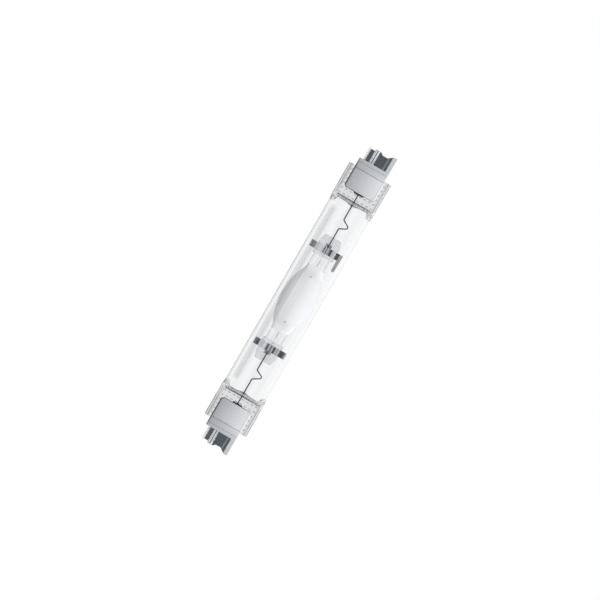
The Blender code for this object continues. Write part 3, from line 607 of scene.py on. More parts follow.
def grained(shader, where, grain, roughness):
    """Streaks along a metal's grain, which also set its roughness and fine relief."""
    streaks = noise(where, 1500.0, 3.0, 0.6, grain)
    feed(shader, Roughness=mapped(streaks, 0.3, 0.7, *roughness))
    bump(shader, streaks, 0.01 * MM, 0.4)
    return streaks


def metal_material(name, dark, light, roughness, grain=(1.0, 1.0, 1.0), metallic=1.0):
    """A metal whose tone varies with its grain."""
    made, shader, where = shader_material(name, Metallic=metallic)
    streaks = grained(shader, where, grain, roughness)
    feed(shader, Base_Color=mixed_colour(streaks, dark, light))
    return made


def spring_material():
    """Bright strip with painted shade: darker ears, the right ones darker than the left, dark folds and
    darker tips.
    """
    made, shader, where = shader_material("spring_finish", Metallic=1.0)
    x, y, _ = axes(where)
    across = maths("ABSOLUTE", y)
    streaks = grained(shader, where, (0.15, 1, 1), (0.06, 0.14))
    bright = mixed_colour(streaks, (0.76, 0.77, 0.79), (0.86, 0.87, 0.89))
    # Painted shade: darker ears, the right ones much darker than the left.
    left = mixed_colour(streaks, (0.28, 0.29, 0.31), (0.46, 0.47, 0.49))
    right = mixed_colour(streaks, (0.02, 0.022, 0.026), (0.05, 0.053, 0.06))
    ear_shade = mixed_colour(mapped(y, -MM, MM), right, left)
    shifted = maths("ABSOLUTE", maths("SUBTRACT", y, EAR_SHIFT))
    on_ears = product(mapped(shifted, *EAR_START), mapped(across, *EAR_END))
    strip = mixed_colour(on_ears, bright, ear_shade)
    # Painted shade: dark lines at the folds.
    for start, end, share_a, share_b, tone in CLIP_FOLD_SHADES:
        share = product(span(y, start, end), mapped(x, 0.0, -MM, share_a, share_b))
        strip = mixed_colour(share, strip, tone)
    # Painted shade: darker tips at end b.
    clip_tip_shade = product(mapped(across, *TIP_START), mapped(x, 0.0, -MM, 0.0, 0.6))
    feed(shader, Base_Color=mixed_colour(clip_tip_shade, strip, (0.15, 0.155, 0.17)))
    return made


def arc_foil_material():
    """Foil painted pale in the neck as painted light, and darker in the grip as a painted shadow round the
    wire.
    """
    made, shader, where = shader_material("arc_foil_finish")
    along = maths("ABSOLUTE", axes(where)[0])
    grip = mapped(along, CLIP_INNER - TONE_FADE, CLIP_INNER)
    streaks = grained(shader, where, (0.2, 1, 1), (0.35, 0.5))
    # Painted light: pale in the neck. Painted shadow: darker in the grip.
    pale_neck_light = mixed_colour(streaks, (0.78, 0.785, 0.79), (0.86, 0.865, 0.87))
    dark = mixed_colour(streaks, (0.60, 0.605, 0.615), (0.70, 0.705, 0.715))
    metallic = mapped(grip, 0.0, 1.0, 0.05, 0.3, False)
    feed(shader, Base_Color=mixed_colour(grip, pale_neck_light, dark), Metallic=metallic)
    return made


def ceramic_material():
    """Matt ceramic, faintly mottled and pored, painted darker to the left as shade, with a painted dark line
    along the left edge, a painted light rim on the right, and darker at the contact end.
    """
    made, shader, where = shader_material("ceramic_finish", Specular_IOR_Level=0.3)
    x, y, _ = axes(where)
    # Painted shade: darker towards the left side.
    side = mapped(y, -CAP_SHADE_SIDE, CAP_SHADE_SIDE, 1.0, 0.0, False)
    tone = mixed_colour(side, (0.280, 0.290, 0.310), (0.60, 0.605, 0.62))
    cloud = noise(where, 220.0, 4.0, 0.55)
    tone = mixed_colour(mapped(cloud, 0.35, 0.65, 0.0, 0.12), tone, (0.46, 0.465, 0.48))
    # Painted shade in a dark line along the left edge, painted highlight in a light rim on the right.
    for edge, edge_tone in CAP_EDGE_SHADE_AND_HIGHLIGHT:
        tone = mixed_colour(mapped(y, *edge), tone, edge_tone)
    contact_end = mapped(maths("ABSOLUTE", x), *CAP_END_TONE)
    tone = mixed_colour(product(contact_end, 0.6), tone, (0.39, 0.40, 0.42))
    cells = node(where.id_data, "ShaderNodeTexVoronoi", Scale=2600.0)
    feed(cells, Vector=where)
    pore = mapped(cells.outputs["Distance"], 0.10, 0.25)
    tone = mixed_colour(mapped(pore, 0.0, 1.0, 0.25, 0.0), tone, (0.30, 0.305, 0.32))
    feed(shader, Base_Color=tone, Roughness=mapped(cloud, 0.3, 0.7, 0.55, 0.72))
    height = maths("ADD", product(pore, 0.6), noise(where, 3500.0, 3.0))
    bump(shader, height, 0.006 * MM, 0.15)
    return made


def cement_material():
    """Rough, gritty cement."""
    made, shader, where = shader_material("cement_finish", Specular_IOR_Level=0.2)
    grit = noise(where, 1800.0, 5.0, 0.7)
    tone = mixed_colour(grit, (0.50, 0.49, 0.46), (0.78, 0.77, 0.74))
    feed(shader, Base_Color=tone, Roughness=mapped(grit, 0.3, 0.7, 0.8, 0.95))
    bump(shader, grit, 0.1 * MM, 0.7)
    return made


# Outer envelope


def quarter_pairs():
    """Matching quarters of the round tube and of the ribbed seal, as (y, z) from +Y up to +Z."""
    seal = []
    rib_middle = SEAL_HALF_WIDTH - RIB_RADIUS
    rib_round_z = RIB_HALF - RIB_RADIUS
    face_points = 5
    for i in range(face_points):
        seal.append((SEAL_HALF_WIDTH, rib_round_z * (i + 0.5) / face_points))
    round_points = 12
    for i in range(round_points):
        angle = math.pi * i / round_points
        seal.append((rib_middle + RIB_RADIUS * math.cos(angle), rib_round_z + RIB_RADIUS * math.sin(angle)))
    fillet_points = 5
    drop = rib_round_z - WEB_HALF
    rib_inner = SEAL_HALF_WIDTH - 2 * RIB_RADIUS
    for i in range(fillet_points):
        angle = math.pi / 2 * i / fillet_points
        y = rib_inner - RIB_FILLET * (1 - math.cos(angle))
        seal.append((y, WEB_HALF + drop * (1 - math.sin(angle))))
    rib_points = len(seal)
    web_points = 42
    web_edge = rib_inner - RIB_FILLET
    seal += [(web_edge * (1 - (i + 0.5) / web_points), WEB_HALF) for i in range(web_points)]
    tube = [RIB_TURN * (i + 0.5) / rib_points for i in range(rib_points)]
    tube += [RIB_TURN + (math.pi / 2 - RIB_TURN) * (i + 0.5) / web_points for i in range(web_points)]
    return [(math.cos(a), math.sin(a)) for a in tube], seal


TUBE_QUARTER, SEAL_QUARTER = quarter_pairs()


def whole_ring(quarter, x):
    """A ring at a place along the lamp, mirrored from its first quarter."""
    upper = quarter + [(-y, z) for y, z in reversed(quarter)]
    lower = [(-y, -z) for y, z in upper]
    return [Vector((x, y, z)) for y, z in upper + lower]


def pressed_share(x, y):
    """How far the glass is pressed at a place: a steep arched step on the web, a gentle one at the ribs."""
    arch = PRESS_ARCH * (1 - min(abs(y) / TUBE_RADIUS, 1.0) ** 2)
    step = ease((x + arch - PRESS_START) / PRESS_LENGTH)
    slope = ease((x - RIB_PRESS_START) / (SEAL_START - RIB_PRESS_START))
    side = ease((abs(y) - RIB_PRESS_FROM) / (RIB_PRESS_TO - RIB_PRESS_FROM))
    return step + (slope - step) * side


def mark_height(x, y):
    """The height of the low bars on the seal's web."""
    row = (x - MARK_ROW_START) / MARK_PITCH
    column = abs(y) / MARK_PITCH - 0.5
    if row < -0.5 or abs(y) > MARK_SIDE_LIMIT:
        return 0.0
    off_x = abs(row - round(row)) * MARK_PITCH / MARK_HALF_WIDTH
    off_y = abs(column - round(column)) * MARK_PITCH / MARK_HALF_LENGTH
    return MARK_HEIGHT * ease(1.6 - off_x) * ease(3 * (1.25 - off_y))


def envelope_ring(x):
    """The envelope's outline at a place: a round tube that spreads and is pressed towards the seal."""
    spread = ease((x - TUBE_HALF_LENGTH) / SPREAD_LENGTH)
    quarter = []
    for (ty, tz), (sy, sz) in zip(TUBE_QUARTER, SEAL_QUARTER):
        y0, z0 = TUBE_RADIUS * ty, TUBE_RADIUS * tz
        pressed = pressed_share(x, y0)
        y = y0 + (sy - y0) * spread
        z = z0 + (sz - z0) * pressed
        if sz == WEB_HALF and x > SEAL_START:
            z += mark_height(x, y)
        quarter.append((y, z))
    return whole_ring(quarter, x)


def hollow_ring(x, end):
    """The hollow's outline at a place, which closes towards its end."""
    flat_width = 1 - HOLLOW_END_TAPER / BORE_RADIUS
    into_end = max(0.0, (x - end + HOLLOW_END_LENGTH) / HOLLOW_END_LENGTH)
    closing = math.sqrt(max(0.0, 1 - into_end**2))
    quarter = []
    for ty, tz in TUBE_QUARTER:
        y, z = BORE_RADIUS * ty, BORE_RADIUS * tz
        pressed = pressed_share(x + HOLLOW_SET_BACK, y)
        height = (z + (HOLLOW_PRESSED_HALF * tz - z) * pressed) * closing
        quarter.append((y * (1 + (flat_width - 1) * pressed), height))
    return whole_ring(quarter, x)


def both_ways(rings):
    """The rings of end a, with their mirror images before them."""
    return [[Vector((-p.x, p.y, p.z)) for p in ring] for ring in reversed(rings)] + rings


def seal_end_rings():
    """The seal's last rings, drawn in to round its end."""
    last = envelope_ring(SEAL_END - SEAL_END_LENGTH)
    rings = []
    for share in (0.35, 0.75, 1.0):
        inset = SEAL_END_INSET * (1 - math.sqrt(1 - share**2))
        ring = []
        for p in last:
            y = p.y - math.copysign(min(inset, abs(p.y)), p.y)
            z = p.z - math.copysign(min(inset, abs(p.z)), p.z)
            ring.append(Vector((SEAL_END - SEAL_END_LENGTH * (1 - share), y, z)))
        rings.append(ring)
    return rings


def envelope():
    """The outer tube and its seals, with the skin of the hollow inside."""
    bm = bmesh.new()
    xs = list(np.linspace(RIB_PRESS_START, PRESS_START - PRESS_ARCH, 16)[:-1])
    xs += list(np.linspace(PRESS_START - PRESS_ARCH, SEAL_START, 27))
    xs += list(np.linspace(SEAL_START, FINE_RINGS_END, 48)[1:])
    xs += list(np.linspace(FINE_RINGS_END, SEAL_END - SEAL_END_LENGTH, 40)[1:])
    rings = [envelope_ring(x) for x in TUBE_RINGS + xs] + seal_end_rings()
    add_loft(bm, both_ways(rings))
    end = SEAL_START - HOLLOW_SET_BACK
    start = RIB_PRESS_START - HOLLOW_SET_BACK
    hollow_xs = TUBE_RINGS + list(np.linspace(start, end, 34))
    inner = add_loft(bm, both_ways([hollow_ring(x, end) for x in hollow_xs]), ends=False)
    bmesh.ops.reverse_faces(bm, faces=inner)
    bmesh.ops.remove_doubles(bm, verts=bm.verts, dist=1e-7)
    obj = mesh_object("envelope_glass", bm, 50)
    obj.visible_shadow = False
    piece(obj, QUARTZ, "clear_quartz", "outer_envelope")


# Arc tube


def arc_section(x):
    """Half width, half thickness, squareness and flute depth of the arc tube at a place."""
    ellipse = BODY_RADIUS * math.sqrt(max(0.0, 1 - (x / BODY_HALF_LENGTH) ** 2))
    radius = (ellipse**6 + NECK_HALF_WIDTH**6) ** (1 / 6)
    flat = ease((x - NECK_FLAT_START) / (NECK_PRESSED - NECK_FLAT_START))
    stations = [
        (NECK_PRESSED, NECK_HALF_WIDTH, NECK_HALF_THICKNESS, 3.5, 0.0),
        (NECK_PRESSED + 1.2 * MM, NECK_HALF_WIDTH, NECK_HALF_THICKNESS, 3.0, 1.0),
        (BEAD_START - 0.5 * MM, NECK_HALF_WIDTH, NECK_HALF_THICKNESS, 3.0, 1.0),
        (BEAD_START + 0.3 * MM, BEAD_HALF_WIDTH, BEAD_HALF_THICKNESS, 4.0, 0.2),
        (BEAD_END - 0.3 * MM, BEAD_HALF_WIDTH, BEAD_HALF_THICKNESS, 4.0, 0.0),
        (BEAD_END + 0.2 * MM, GRIP_HALF_WIDTH, GRIP_HALF_THICKNESS, 5.0, 0.0),
        (GRIP_END, GRIP_HALF_WIDTH, GRIP_HALF_THICKNESS, 5.0, 0.0),
        (ARC_SEAL_END - 0.4 * MM, LOBE_HALF_WIDTH + 0.1 * MM, LOBE_HALF_THICKNESS, 4.0, 0.0),
        (ARC_SEAL_END, LOBE_HALF_WIDTH - 0.5 * MM, LOBE_HALF_THICKNESS - 0.5 * MM, 3.0, 0.0),
    ]
    if x <= NECK_PRESSED:
        return radius, radius + (NECK_HALF_THICKNESS - radius) * flat, 2.0 + 1.5 * flat, 0.0
    for near, far in zip(stations, stations[1:]):
        if x <= far[0]:
            share = ease((x - near[0]) / (far[0] - near[0]))
            return tuple(a + (b - a) * share for a, b in zip(near[1:], far[1:]))
    return stations[-1][1:]


def arc_ring(x, count=112):
    """The arc tube's outline at a place. Its end dips in at the middle."""
    half_width, half_thickness, squareness, flute = arc_section(x)
    dip = LOBE_DIP * ease((x - GRIP_END) / (ARC_SEAL_END - GRIP_END))
    ring = []
    for i in range(count):
        angle = math.tau * (i + 0.5) / count
        c, s = math.cos(angle), math.sin(angle)
        y = half_width * math.copysign(abs(c) ** (2 / squareness), c)
        z = half_thickness * math.copysign(abs(s) ** (2 / squareness), s)
        ripple = FLUTE_DEPTH * flute * math.cos(math.tau * y / FLUTE_PITCH)
        z += math.copysign(ripple * min(1.0, abs(s) * 1.5), s)
        back = dip * math.exp(-((y / LOBE_DIP_HALF_WIDTH) ** 2))
        ring.append(Vector((x - back, y, z)))
    return ring


def arc_tube():
    """The body and its necks as one solid."""
    bm = bmesh.new()
    body_rings = 36
    xs = [BODY_HALF_LENGTH * math.sin(math.pi / 2 * (i + 0.5) / body_rings) for i in range(body_rings)]
    xs += list(np.linspace(BODY_HALF_LENGTH, ARC_SEAL_END, 84))
    add_loft(bm, both_ways([arc_ring(x) for x in xs]))
    obj = mesh_object("arc_tube_quartz", bm, 60)
    obj.visible_shadow = False
    piece(obj, ARC_QUARTZ, "frosted_quartz", "arc_tube")


# Wires and foils


def rounded_path(corners, radii, steps=8):
    """Points along straight runs whose corners are arcs."""
    points = [corners[0]]
    for before, corner, after, radius in zip(corners, corners[1:], corners[2:], radii):
        back = (before - corner).normalized()
        ahead = (after - corner).normalized()
        half_angle = back.angle(ahead) / 2
        centre = corner + (back + ahead).normalized() * (radius / math.sin(half_angle))
        first = corner + back * (radius / math.tan(half_angle)) - centre
        last = corner + ahead * (radius / math.tan(half_angle)) - centre
        for i in range(steps + 1):
            points.append(centre + first.normalized().slerp(last.normalized(), i / steps) * radius)
    points.append(corners[-1])
    return points


def add_tube(bm, points, radius, count=16):
    """A round tube along a level path."""
    angles = [math.tau * k / count for k in range(count)]
    up = Vector((0, 0, 1))
    rings = []
    last = len(points) - 1
    for i, point in enumerate(points):
        along = (points[min(i + 1, last)] - points[max(i - 1, 0)]).normalized()
        across = along.cross(up).normalized()
        over = across.cross(along).normalized()
        bend = (point - points[i - 1]).angle(points[i + 1] - point) if 0 < i < last else 0.0
        stretch = radius / math.cos(bend / 2)
        ring = [point + across * (stretch * math.cos(a)) + over * (radius * math.sin(a)) for a in angles]
        rings.append(ring)
    add_loft(bm, rings)


def lead_wire(end, side):
    """A lead wire with its kink."""
    corners = ((WIRE_START, 0), (KINK_IN, 0), (KINK_TIP, -KINK_REACH), (KINK_OUT, 0), (WIRE_END, 0))
    path = rounded_path(
        [Vector((side * x, y, 0)) for x, y in corners],
        (KINK_FOOT_RADIUS, KINK_TIP_RADIUS, KINK_FOOT_RADIUS),
    )
    bm = bmesh.new()
    add_tube(bm, path, WIRE_RADIUS)
    obj = mesh_object(f"kinked_wire_{end}", bm, 50)
    piece(obj, WIRE_METAL, "molybdenum", f"lead_wire_{end}")


def arc_foil(end, side):
    """The foil of the arc tube's seal, drawn narrow through the neck and drawn on past its end into the
    grip, where it stands in as a dark sheet of painted shadow round the wire.
    """
    low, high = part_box(f"arc_foil_{end}")
    inner, outer = sorted((abs(low.x), abs(high.x)))
    half_width = high.y
    bm = bmesh.new()
    rings = []
    for x in np.linspace(inner, outer + FOIL_SHADOW_REACH, 40):
        broad = ease((x - CLIP_INNER) / (BEAD_END - BEAD_START))
        reach = FOIL_NECK_HALF_WIDTH + (half_width - FOIL_NECK_HALF_WIDTH) * broad
        ring = [(-reach, low.z), (reach, low.z), (reach, high.z), (-reach, high.z)]
        rings.append([Vector((side * x, y, z)) for y, z in ring])
    add_loft(bm, rings)
    obj = mesh_object(f"seal_strip_{end}", bm)
    piece(obj, ARC_FOIL, "molybdenum", f"arc_foil_{end}")


# Support clips and getter


# The strip's middle line over the top of each clip, from left to right, as (y, z) in millimetres
CLIP_TOP = {
    "a": [
        (8.45, 0.50), (8.30, 1.10), (7.20, 1.00), (6.15, 1.20), (5.95, 2.45), (1.95, 3.25), (1.50, 2.62),
        (0.75, 2.62), (0.55, 2.74), (0.35, 2.62), (-0.30, 2.62), (-0.50, 2.74), (-0.70, 2.62), (-1.75, 2.50),
        (-2.60, 3.25), (-3.30, 3.15), (-5.15, 2.55), (-5.25, 1.22), (-6.90, 1.12), (-7.60, 1.05),
        (-8.30, 1.20), (-8.45, 0.50),
    ],
    "b": [
        (8.45, 0.50), (8.30, 1.10), (5.95, 1.10), (5.75, 2.45), (4.00, 2.90), (3.60, 2.80), (1.85, 3.20),
        (1.45, 2.50), (0.70, 3.15), (0.10, 3.02), (-0.60, 3.05), (-1.20, 2.50), (-2.20, 3.20), (-2.80, 2.95),
        (-5.10, 2.60), (-5.25, 1.22), (-7.20, 1.15), (-8.30, 0.95), (-8.45, 0.50),
    ],
}


def strip_loop(middle, thickness):
    """Inner and outer outline of a closed bent strip in the YZ plane."""
    count = len(middle)
    outer, inner = [], []
    for i, point in enumerate(middle):
        first = (point - middle[i - 1]).normalized()
        second = (middle[(i + 1) % count] - point).normalized()
        along = (first + second).normalized()
        normal = Vector((0, along.z, -along.y))
        reach = thickness / 2 / max(math.cos(first.angle(second) / 2), 0.6)
        outer.append(point + normal * reach)
        inner.append(point - normal * reach)
    return outer, inner


def support_clip(end, side):
    """A clip bent from one strip, its span fitted to the frame's."""
    drawn_tip = CLIP_TOP[end][0][0]
    scale = CLIP_HALF_SPAN / (drawn_tip * MM + CLIP_THICKNESS / 2)
    top = [Vector((0, y * MM * scale, z * MM)) for y, z in CLIP_TOP[end]]
    bottom = [Vector((0, -p.y, -p.z)) for p in top]
    outer, inner = strip_loop(top + bottom, CLIP_THICKNESS)
    low, high = side * CLIP_INNER, side * CLIP_OUTER
    sides = ((outer, low), (outer, high), (inner, high), (inner, low))
    bm = bmesh.new()
    add_loft(bm, [[(x, p.y, p.z) for p in outline] for outline, x in sides], ends=False, closed=True)
    obj = mesh_object(f"spring_clip_{end}", bm, 8)
    bevel(obj, CLIP_EDGE, 2, 20)
    piece(obj, SPRING, "spring_steel", f"support_clip_{end}")


def getter_ring(inset, z, steps=14):
    """The strip's outline at a height, drawn in by an inset, with one round end."""
    low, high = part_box("getter")
    half_width = (high.y - low.y) / 2
    middle = (high.y + low.y) / 2
    radius = half_width - inset
    points = []
    for i in range(steps + 1):
        angle = math.pi / 2 + math.pi * i / steps
        x = low.x + half_width + radius * math.cos(angle)
        points.append(Vector((x, middle + radius * math.sin(angle), z)))
    shares = (0.25, 0.5, 0.75, 1.0)
    for y, along in ((middle - radius, shares), (middle + radius, shares[::-1])):
        for share in along:
            x = low.x + half_width + (high.x - inset - low.x - half_width) * share
            points.append(Vector((x, y, z)))
    return points


def getter():
    """A strip with a raised rim on its top."""
    bottom, top = (corner.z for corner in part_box("getter"))
    insets_and_heights = (
        (0.10 * MM, bottom),
        (0.0, bottom + 0.1 * MM),
        (0.0, top - 0.16 * MM),
        (0.05 * MM, top - 0.04 * MM),
        (0.18 * MM, top),
        (0.34 * MM, top - 0.05 * MM),
        (0.44 * MM, top - 0.20 * MM),
    )
    bm = bmesh.new()
    add_loft(bm, [getter_ring(inset, z) for inset, z in insets_and_heights])
    obj = mesh_object("getter_strip", bm, 45)
    piece(obj, GETTER_METAL, "getter_alloy", "getter")


# Ceramic caps


def block(x0, x1, y0, y1, z0, z1):
    """A box between two places on each axis, to cut with."""
    plan = ((x0, y0), (x1, y0), (x1, y1), (x0, y1))
    bm = bmesh.new()
    add_loft(bm, [[(x, y, z) for x, y in plan] for z in (z0, z1)])
    return mesh_object("cutter", bm)


def cap_outline():
    """The cap's plan as (x, y): a chamfer on its left, a round corner on its right, then the tongue."""
    outline = [(CAP_START + CAP_CHAMFER, CAP_LEFT), (CAP_START, CAP_LEFT - CAP_CHAMFER)]
    arc_steps = 8
    for i in range(arc_steps + 1):
        angle = math.pi + math.pi / 2 * i / arc_steps
        x = CAP_START + CAP_CORNER_RADIUS * (1 + math.cos(angle))
        outline.append((x, -CAP_RIGHT + CAP_CORNER_RADIUS * (1 + math.sin(angle))))
    return outline + [
        (CAP_STEP, -CAP_RIGHT),
        (CAP_STEP, -TONGUE_SIDE),
        (CAP_END, -TONGUE_SIDE),
        (CAP_END, TONGUE_WIDTH - TONGUE_SIDE),
        (CAP_SHOULDER, TONGUE_WIDTH - TONGUE_SIDE),
        (CAP_SHOULDER, CAP_LEFT),
    ]


def cap_layers(side):
    """The plan at each height, drawn in at the left to round the top and bottom edges there."""
    turns = [math.pi / 2 * i / 6 for i in range(7)]
    layers = []
    for z_side, angles in ((-1, turns), (1, turns[::-1])):
        for angle in angles:
            inset = CAP_EDGE_RADIUS * (1 - math.sin(angle))
            level = z_side * (CAP_HALF_THICKNESS - CAP_EDGE_RADIUS * (1 - math.cos(angle)))
            plan = [(side * x, y - inset * (y > CAP_EDGE_FROM)) for x, y in cap_outline()]
            layers.append([Vector((x, y, level)) for x, y in plan])
    return layers


def cut_across(obj, side, start, end, low, high):
    """Cuts a cap over its whole width, between two places along the lamp and two heights."""
    xs = sorted((side * start, side * end))
    zs = sorted((low, high))
    cut(obj, block(*xs, -CAP_RIGHT - CUT_PAST, CAP_LEFT + CUT_PAST, *zs))


def cut_steps(obj, side):
    """Lowers the faces towards the contact end in two steps, each with a groove at its foot."""
    steps = (
        (CAP_STEP, CAP_STEP_DROP, CAP_GROOVE_DEPTH),
        (CAP_GROOVE, 2 * CAP_STEP_DROP, CAP_GROOVE_DEPTH / 2),
    )
    for z_side in (1, -1):
        clear = z_side * (CAP_HALF_THICKNESS + CUT_PAST)
        for start, drop, depth in steps:
            face = CAP_HALF_THICKNESS - drop
            cut_across(obj, side, start, CAP_END + CUT_PAST, z_side * face, clear)
            groove = z_side * (face - depth)
            cut_across(obj, side, start - CAP_GROOVE_BEFORE, start + CAP_GROOVE_AFTER, groove, clear)


def cut_pocket(obj, side):
    """Opens the shoulder for the contact plate and the pin."""
    xs = sorted((side * (CAP_SHOULDER - POCKET_DEPTH), side * (CAP_SHOULDER + CUT_PAST)))
    right = TONGUE_WIDTH - TONGUE_SIDE + TONGUE_CLEARANCE
    left = PLATE_LIP_SIDE + PLATE_THICKNESS / 2 + POCKET_CLEARANCE
    bottom = PLATE_LEVEL - PLATE_THICKNESS / 2 - POCKET_CLEARANCE
    cut(obj, block(*xs, right, left, bottom, PIN_RADIUS + POCKET_CLEARANCE))


def ceramic_cap(end, side):
    """A cap with its steps, a slot for the seal and a pocket for the contact."""
    bm = bmesh.new()
    add_loft(bm, cap_layers(side))
    obj = mesh_object(f"ceramic_block_{end}", bm)
    cut_steps(obj, side)
    slot = (CAP_START - CUT_PAST, SEAL_END + SLOT_CLEARANCE, -SLOT_HALF_HEIGHT, SLOT_HALF_HEIGHT)
    cut_across(obj, side, *slot)
    cut_pocket(obj, side)
    obj.data.shade_smooth()
    obj.data.set_sharp_from_angle(angle=math.radians(35))
    bevel(obj, CAP_BEVEL, 3, 35)
    piece(obj, CERAMIC, "ceramic", f"ceramic_cap_{end}")


# Contacts


def plate_section():
    """The contact plate's middle line in the YZ plane, with rounded bends."""
    corners = [
        Vector((0, PLATE_LIP_SIDE, PLATE_LIP_HEIGHT - PLATE_THICKNESS / 2)),
        Vector((0, PLATE_LIP_SIDE, PLATE_LEVEL)),
        Vector((0, -PLATE_FOLD_SIDE, PLATE_LEVEL)),
        Vector((0, -PLATE_FOLD_SIDE - PLATE_FOLD_WIDTH, PLATE_LEVEL + PLATE_FOLD_RISE)),
        Vector((0, -PLATE_FLANGE_SIDE, PLATE_LEVEL + PLATE_FOLD_RISE)),
    ]
    return rounded_path(corners, (0.75 * MM, 0.25 * MM, 0.25 * MM), 6)


# The plate's outer edge from left to right, as (y, x) in millimetres
PLATE_ENDS = [
    (6.60, 80.50), (5.85, 80.50), (5.60, 80.00), (3.50, 79.98), (3.30, 80.90), (0.40, 80.90),
    (-0.70, 79.90), (-3.40, 79.85), (-5.45, 81.38), (-6.00, 81.40),
]


def plate_end(y):
    """How far out the plate reaches at a place across it."""
    for (y0, x0), (y1, x1) in zip(PLATE_ENDS, PLATE_ENDS[1:]):
        if y / MM >= y1:
            return (x0 + (x1 - x0) * min(1.0, max(0.0, (y0 - y / MM) / (y0 - y1)))) * MM
    return PLATE_ENDS[-1][1] * MM


def resampled(points, spacing):
    """Points at even spacing along a path, with its own corners kept."""
    out = [points[0]]
    for near, far in zip(points, points[1:]):
        pieces = max(1, round((far - near).length / spacing))
        out += [near.lerp(far, (i + 1) / pieces) for i in range(pieces)]
    return out


def plate_stations():
    """Places along the plate's section with their normal and half thickness, the lip's end rounded over."""
    middle = resampled(plate_section(), PLATE_SPACING)
    half = PLATE_THICKNESS / 2
    last = len(middle) - 1
    up = (middle[0] - middle[1]).normalized()
    stations = []
    for degrees in (85, 60, 40, 20):
        angle = math.radians(degrees)
        point = middle[0] + up * (half * math.sin(angle))
        stations.append((point, Vector((0, 1, 0)), half * math.cos(angle)))
    for i, point in enumerate(middle):
        along = (middle[min(i + 1, last)] - middle[max(i - 1, 0)]).normalized()
        stations.append((point, Vector((0, -along.z, along.y)), half))
    return stations


def contact_plate(end, side):
    """The folded plate as a loft along its section, its lip given the pin's brighter metal as painted light.
    """
    start = CAP_SHOULDER - POCKET_DEPTH + POCKET_CLEARANCE
    rings = []
    for point, normal, depth in plate_stations():
        reach = plate_end(point.y)
        shoulder = max(depth - PLATE_EDGE, 0.0)
        corners = [
            (start, depth),
            (reach - PLATE_EDGE, depth),
            (reach, shoulder),
            (reach, -shoulder),
            (reach - PLATE_EDGE, -depth),
            (start, -depth),
        ]
        ring = [(side * x, point.y + normal.y * out, point.z + normal.z * out) for x, out in corners]
        rings.append(ring)
    bm = bmesh.new()
    add_loft(bm, rings)
    obj = mesh_object(f"folded_plate_{end}", bm, 40)
    piece(obj, NICKEL, "nickel", f"contact_plate_{end}")
    # Painted light: the lip gets the pin's brighter metal.
    obj.data.materials.append(PIN_METAL)
    lip = PLATE_LIP_SIDE - PLATE_THICKNESS
    for face in obj.data.polygons:
        face.material_index = int(face.center.y > lip and face.center.z > PLATE_LEVEL)


def pin_profile(length):
    """The pin's (place, radius) from its inner end, rounded at the outer end with a dimple in it."""
    edge = PIN_END_ROUND
    return [
        (0.0, PIN_RADIUS - 0.2 * MM),
        (0.2 * MM, PIN_RADIUS),
        (length - edge, PIN_RADIUS),
        (length - edge * 0.6, PIN_RADIUS - 0.02 * MM),
        (length - edge * 0.25, PIN_RADIUS - 0.09 * MM),
        (length - edge * 0.05, PIN_RADIUS - 0.2 * MM),
        (length, PIN_RADIUS - 0.34 * MM),
        (length, PIN_DIMPLE_RADIUS),
        (length - PIN_DIMPLE_DEPTH, 0.3 * MM),
    ]


def contact_pin(end, side, count=40):
    """A turned pin with a darker line along it, above and below, painted as a dark reflection."""
    inner, outer = sorted(abs(corner.x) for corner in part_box(f"contact_pin_{end}"))
    angles = [math.tau * k / count for k in range(count)]
    rings = []
    for x, radius in pin_profile(outer - inner):
        points = [(PIN_SIDE + radius * math.cos(a), radius * math.sin(a)) for a in angles]
        rings.append([(side * (inner + x), y, z) for y, z in points])
    bm = bmesh.new()
    add_loft(bm, rings)
    obj = mesh_object(f"turned_pin_{end}", bm, 40)
    piece(obj, PIN_METAL, "nickel", f"contact_pin_{end}")
    # Painted reflection: faces along a line above and below get the darker plate metal.
    obj.data.materials.append(NICKEL)
    for face in obj.data.polygons:
        on_line = PIN_SHADE_FROM < face.center.y - PIN_SIDE < PIN_SHADE_TO
        face.material_index = int(on_line and abs(face.center.z) > PIN_RADIUS / 2)


# Studio


def world():
    """A bright right side, a dim left side and a dark gap straight above, by the kind of ray."""
    made = bpy.data.worlds.new("studio")
    bpy.context.scene.world = made
    made.use_nodes = True
    tree = made.node_tree
    tree.nodes.clear()
    where = tree.nodes.new("ShaderNodeTexCoord").outputs["Generated"]
    x, y, z = axes(where)
    roll = maths("DIVIDE", maths("ARCTAN2", y, z), math.tau)
    roll = maths("ADD", roll, 0.5)
    # Degrees from straight above, positive to the left, and how bright the light is there
    stops = [
        (-180, 0.9), (-50, 0.95), (-26, 0.8), (-9, (0.11, 0.125, 0.14)), (2, (0.15, 0.17, 0.19)),
        (14, (0.20, 0.215, 0.235)), (24, 0.78), (46, 0.78), (52, 0.28), (70, 0.22), (78, 0.04), (100, 0.04),
        (110, 0.15), (180, 0.15),
    ]
    mirrored = ramp(roll, [(degrees / 360 + 0.5, colour) for degrees, colour in stops])
    far = mapped(maths("ABSOLUTE", x), 0.45, 0.85)
    mirrored = mixed_colour(far, mirrored, (0.45, 0.455, 0.46))
    through = mapped(y, -0.6, 0.6, 0.95, 0.12)
    scattered = mapped(y, -1.0, 1.0, 2.2, 0.5)
    path = tree.nodes.new("ShaderNodeLightPath").outputs
    straight = maths("LESS_THAN", path["Glossy Depth"], 0.5)
    bent = maths("MULTIPLY", path["Is Transmission Ray"], straight)
    light = mixed_colour(bent, mirrored, through)
    light = mixed_colour(maths("GREATER_THAN", path["Diffuse Depth"], 0.5), light, scattered)
    light = mixed_colour(path["Is Camera Ray"], light, (1.0, 1.0, 1.0))
    shine = tree.nodes.new("ShaderNodeBackground")
    feed(shine, Color=light)
    feed(tree.nodes.new("ShaderNodeOutputWorld"), Surface=shine.outputs[0])


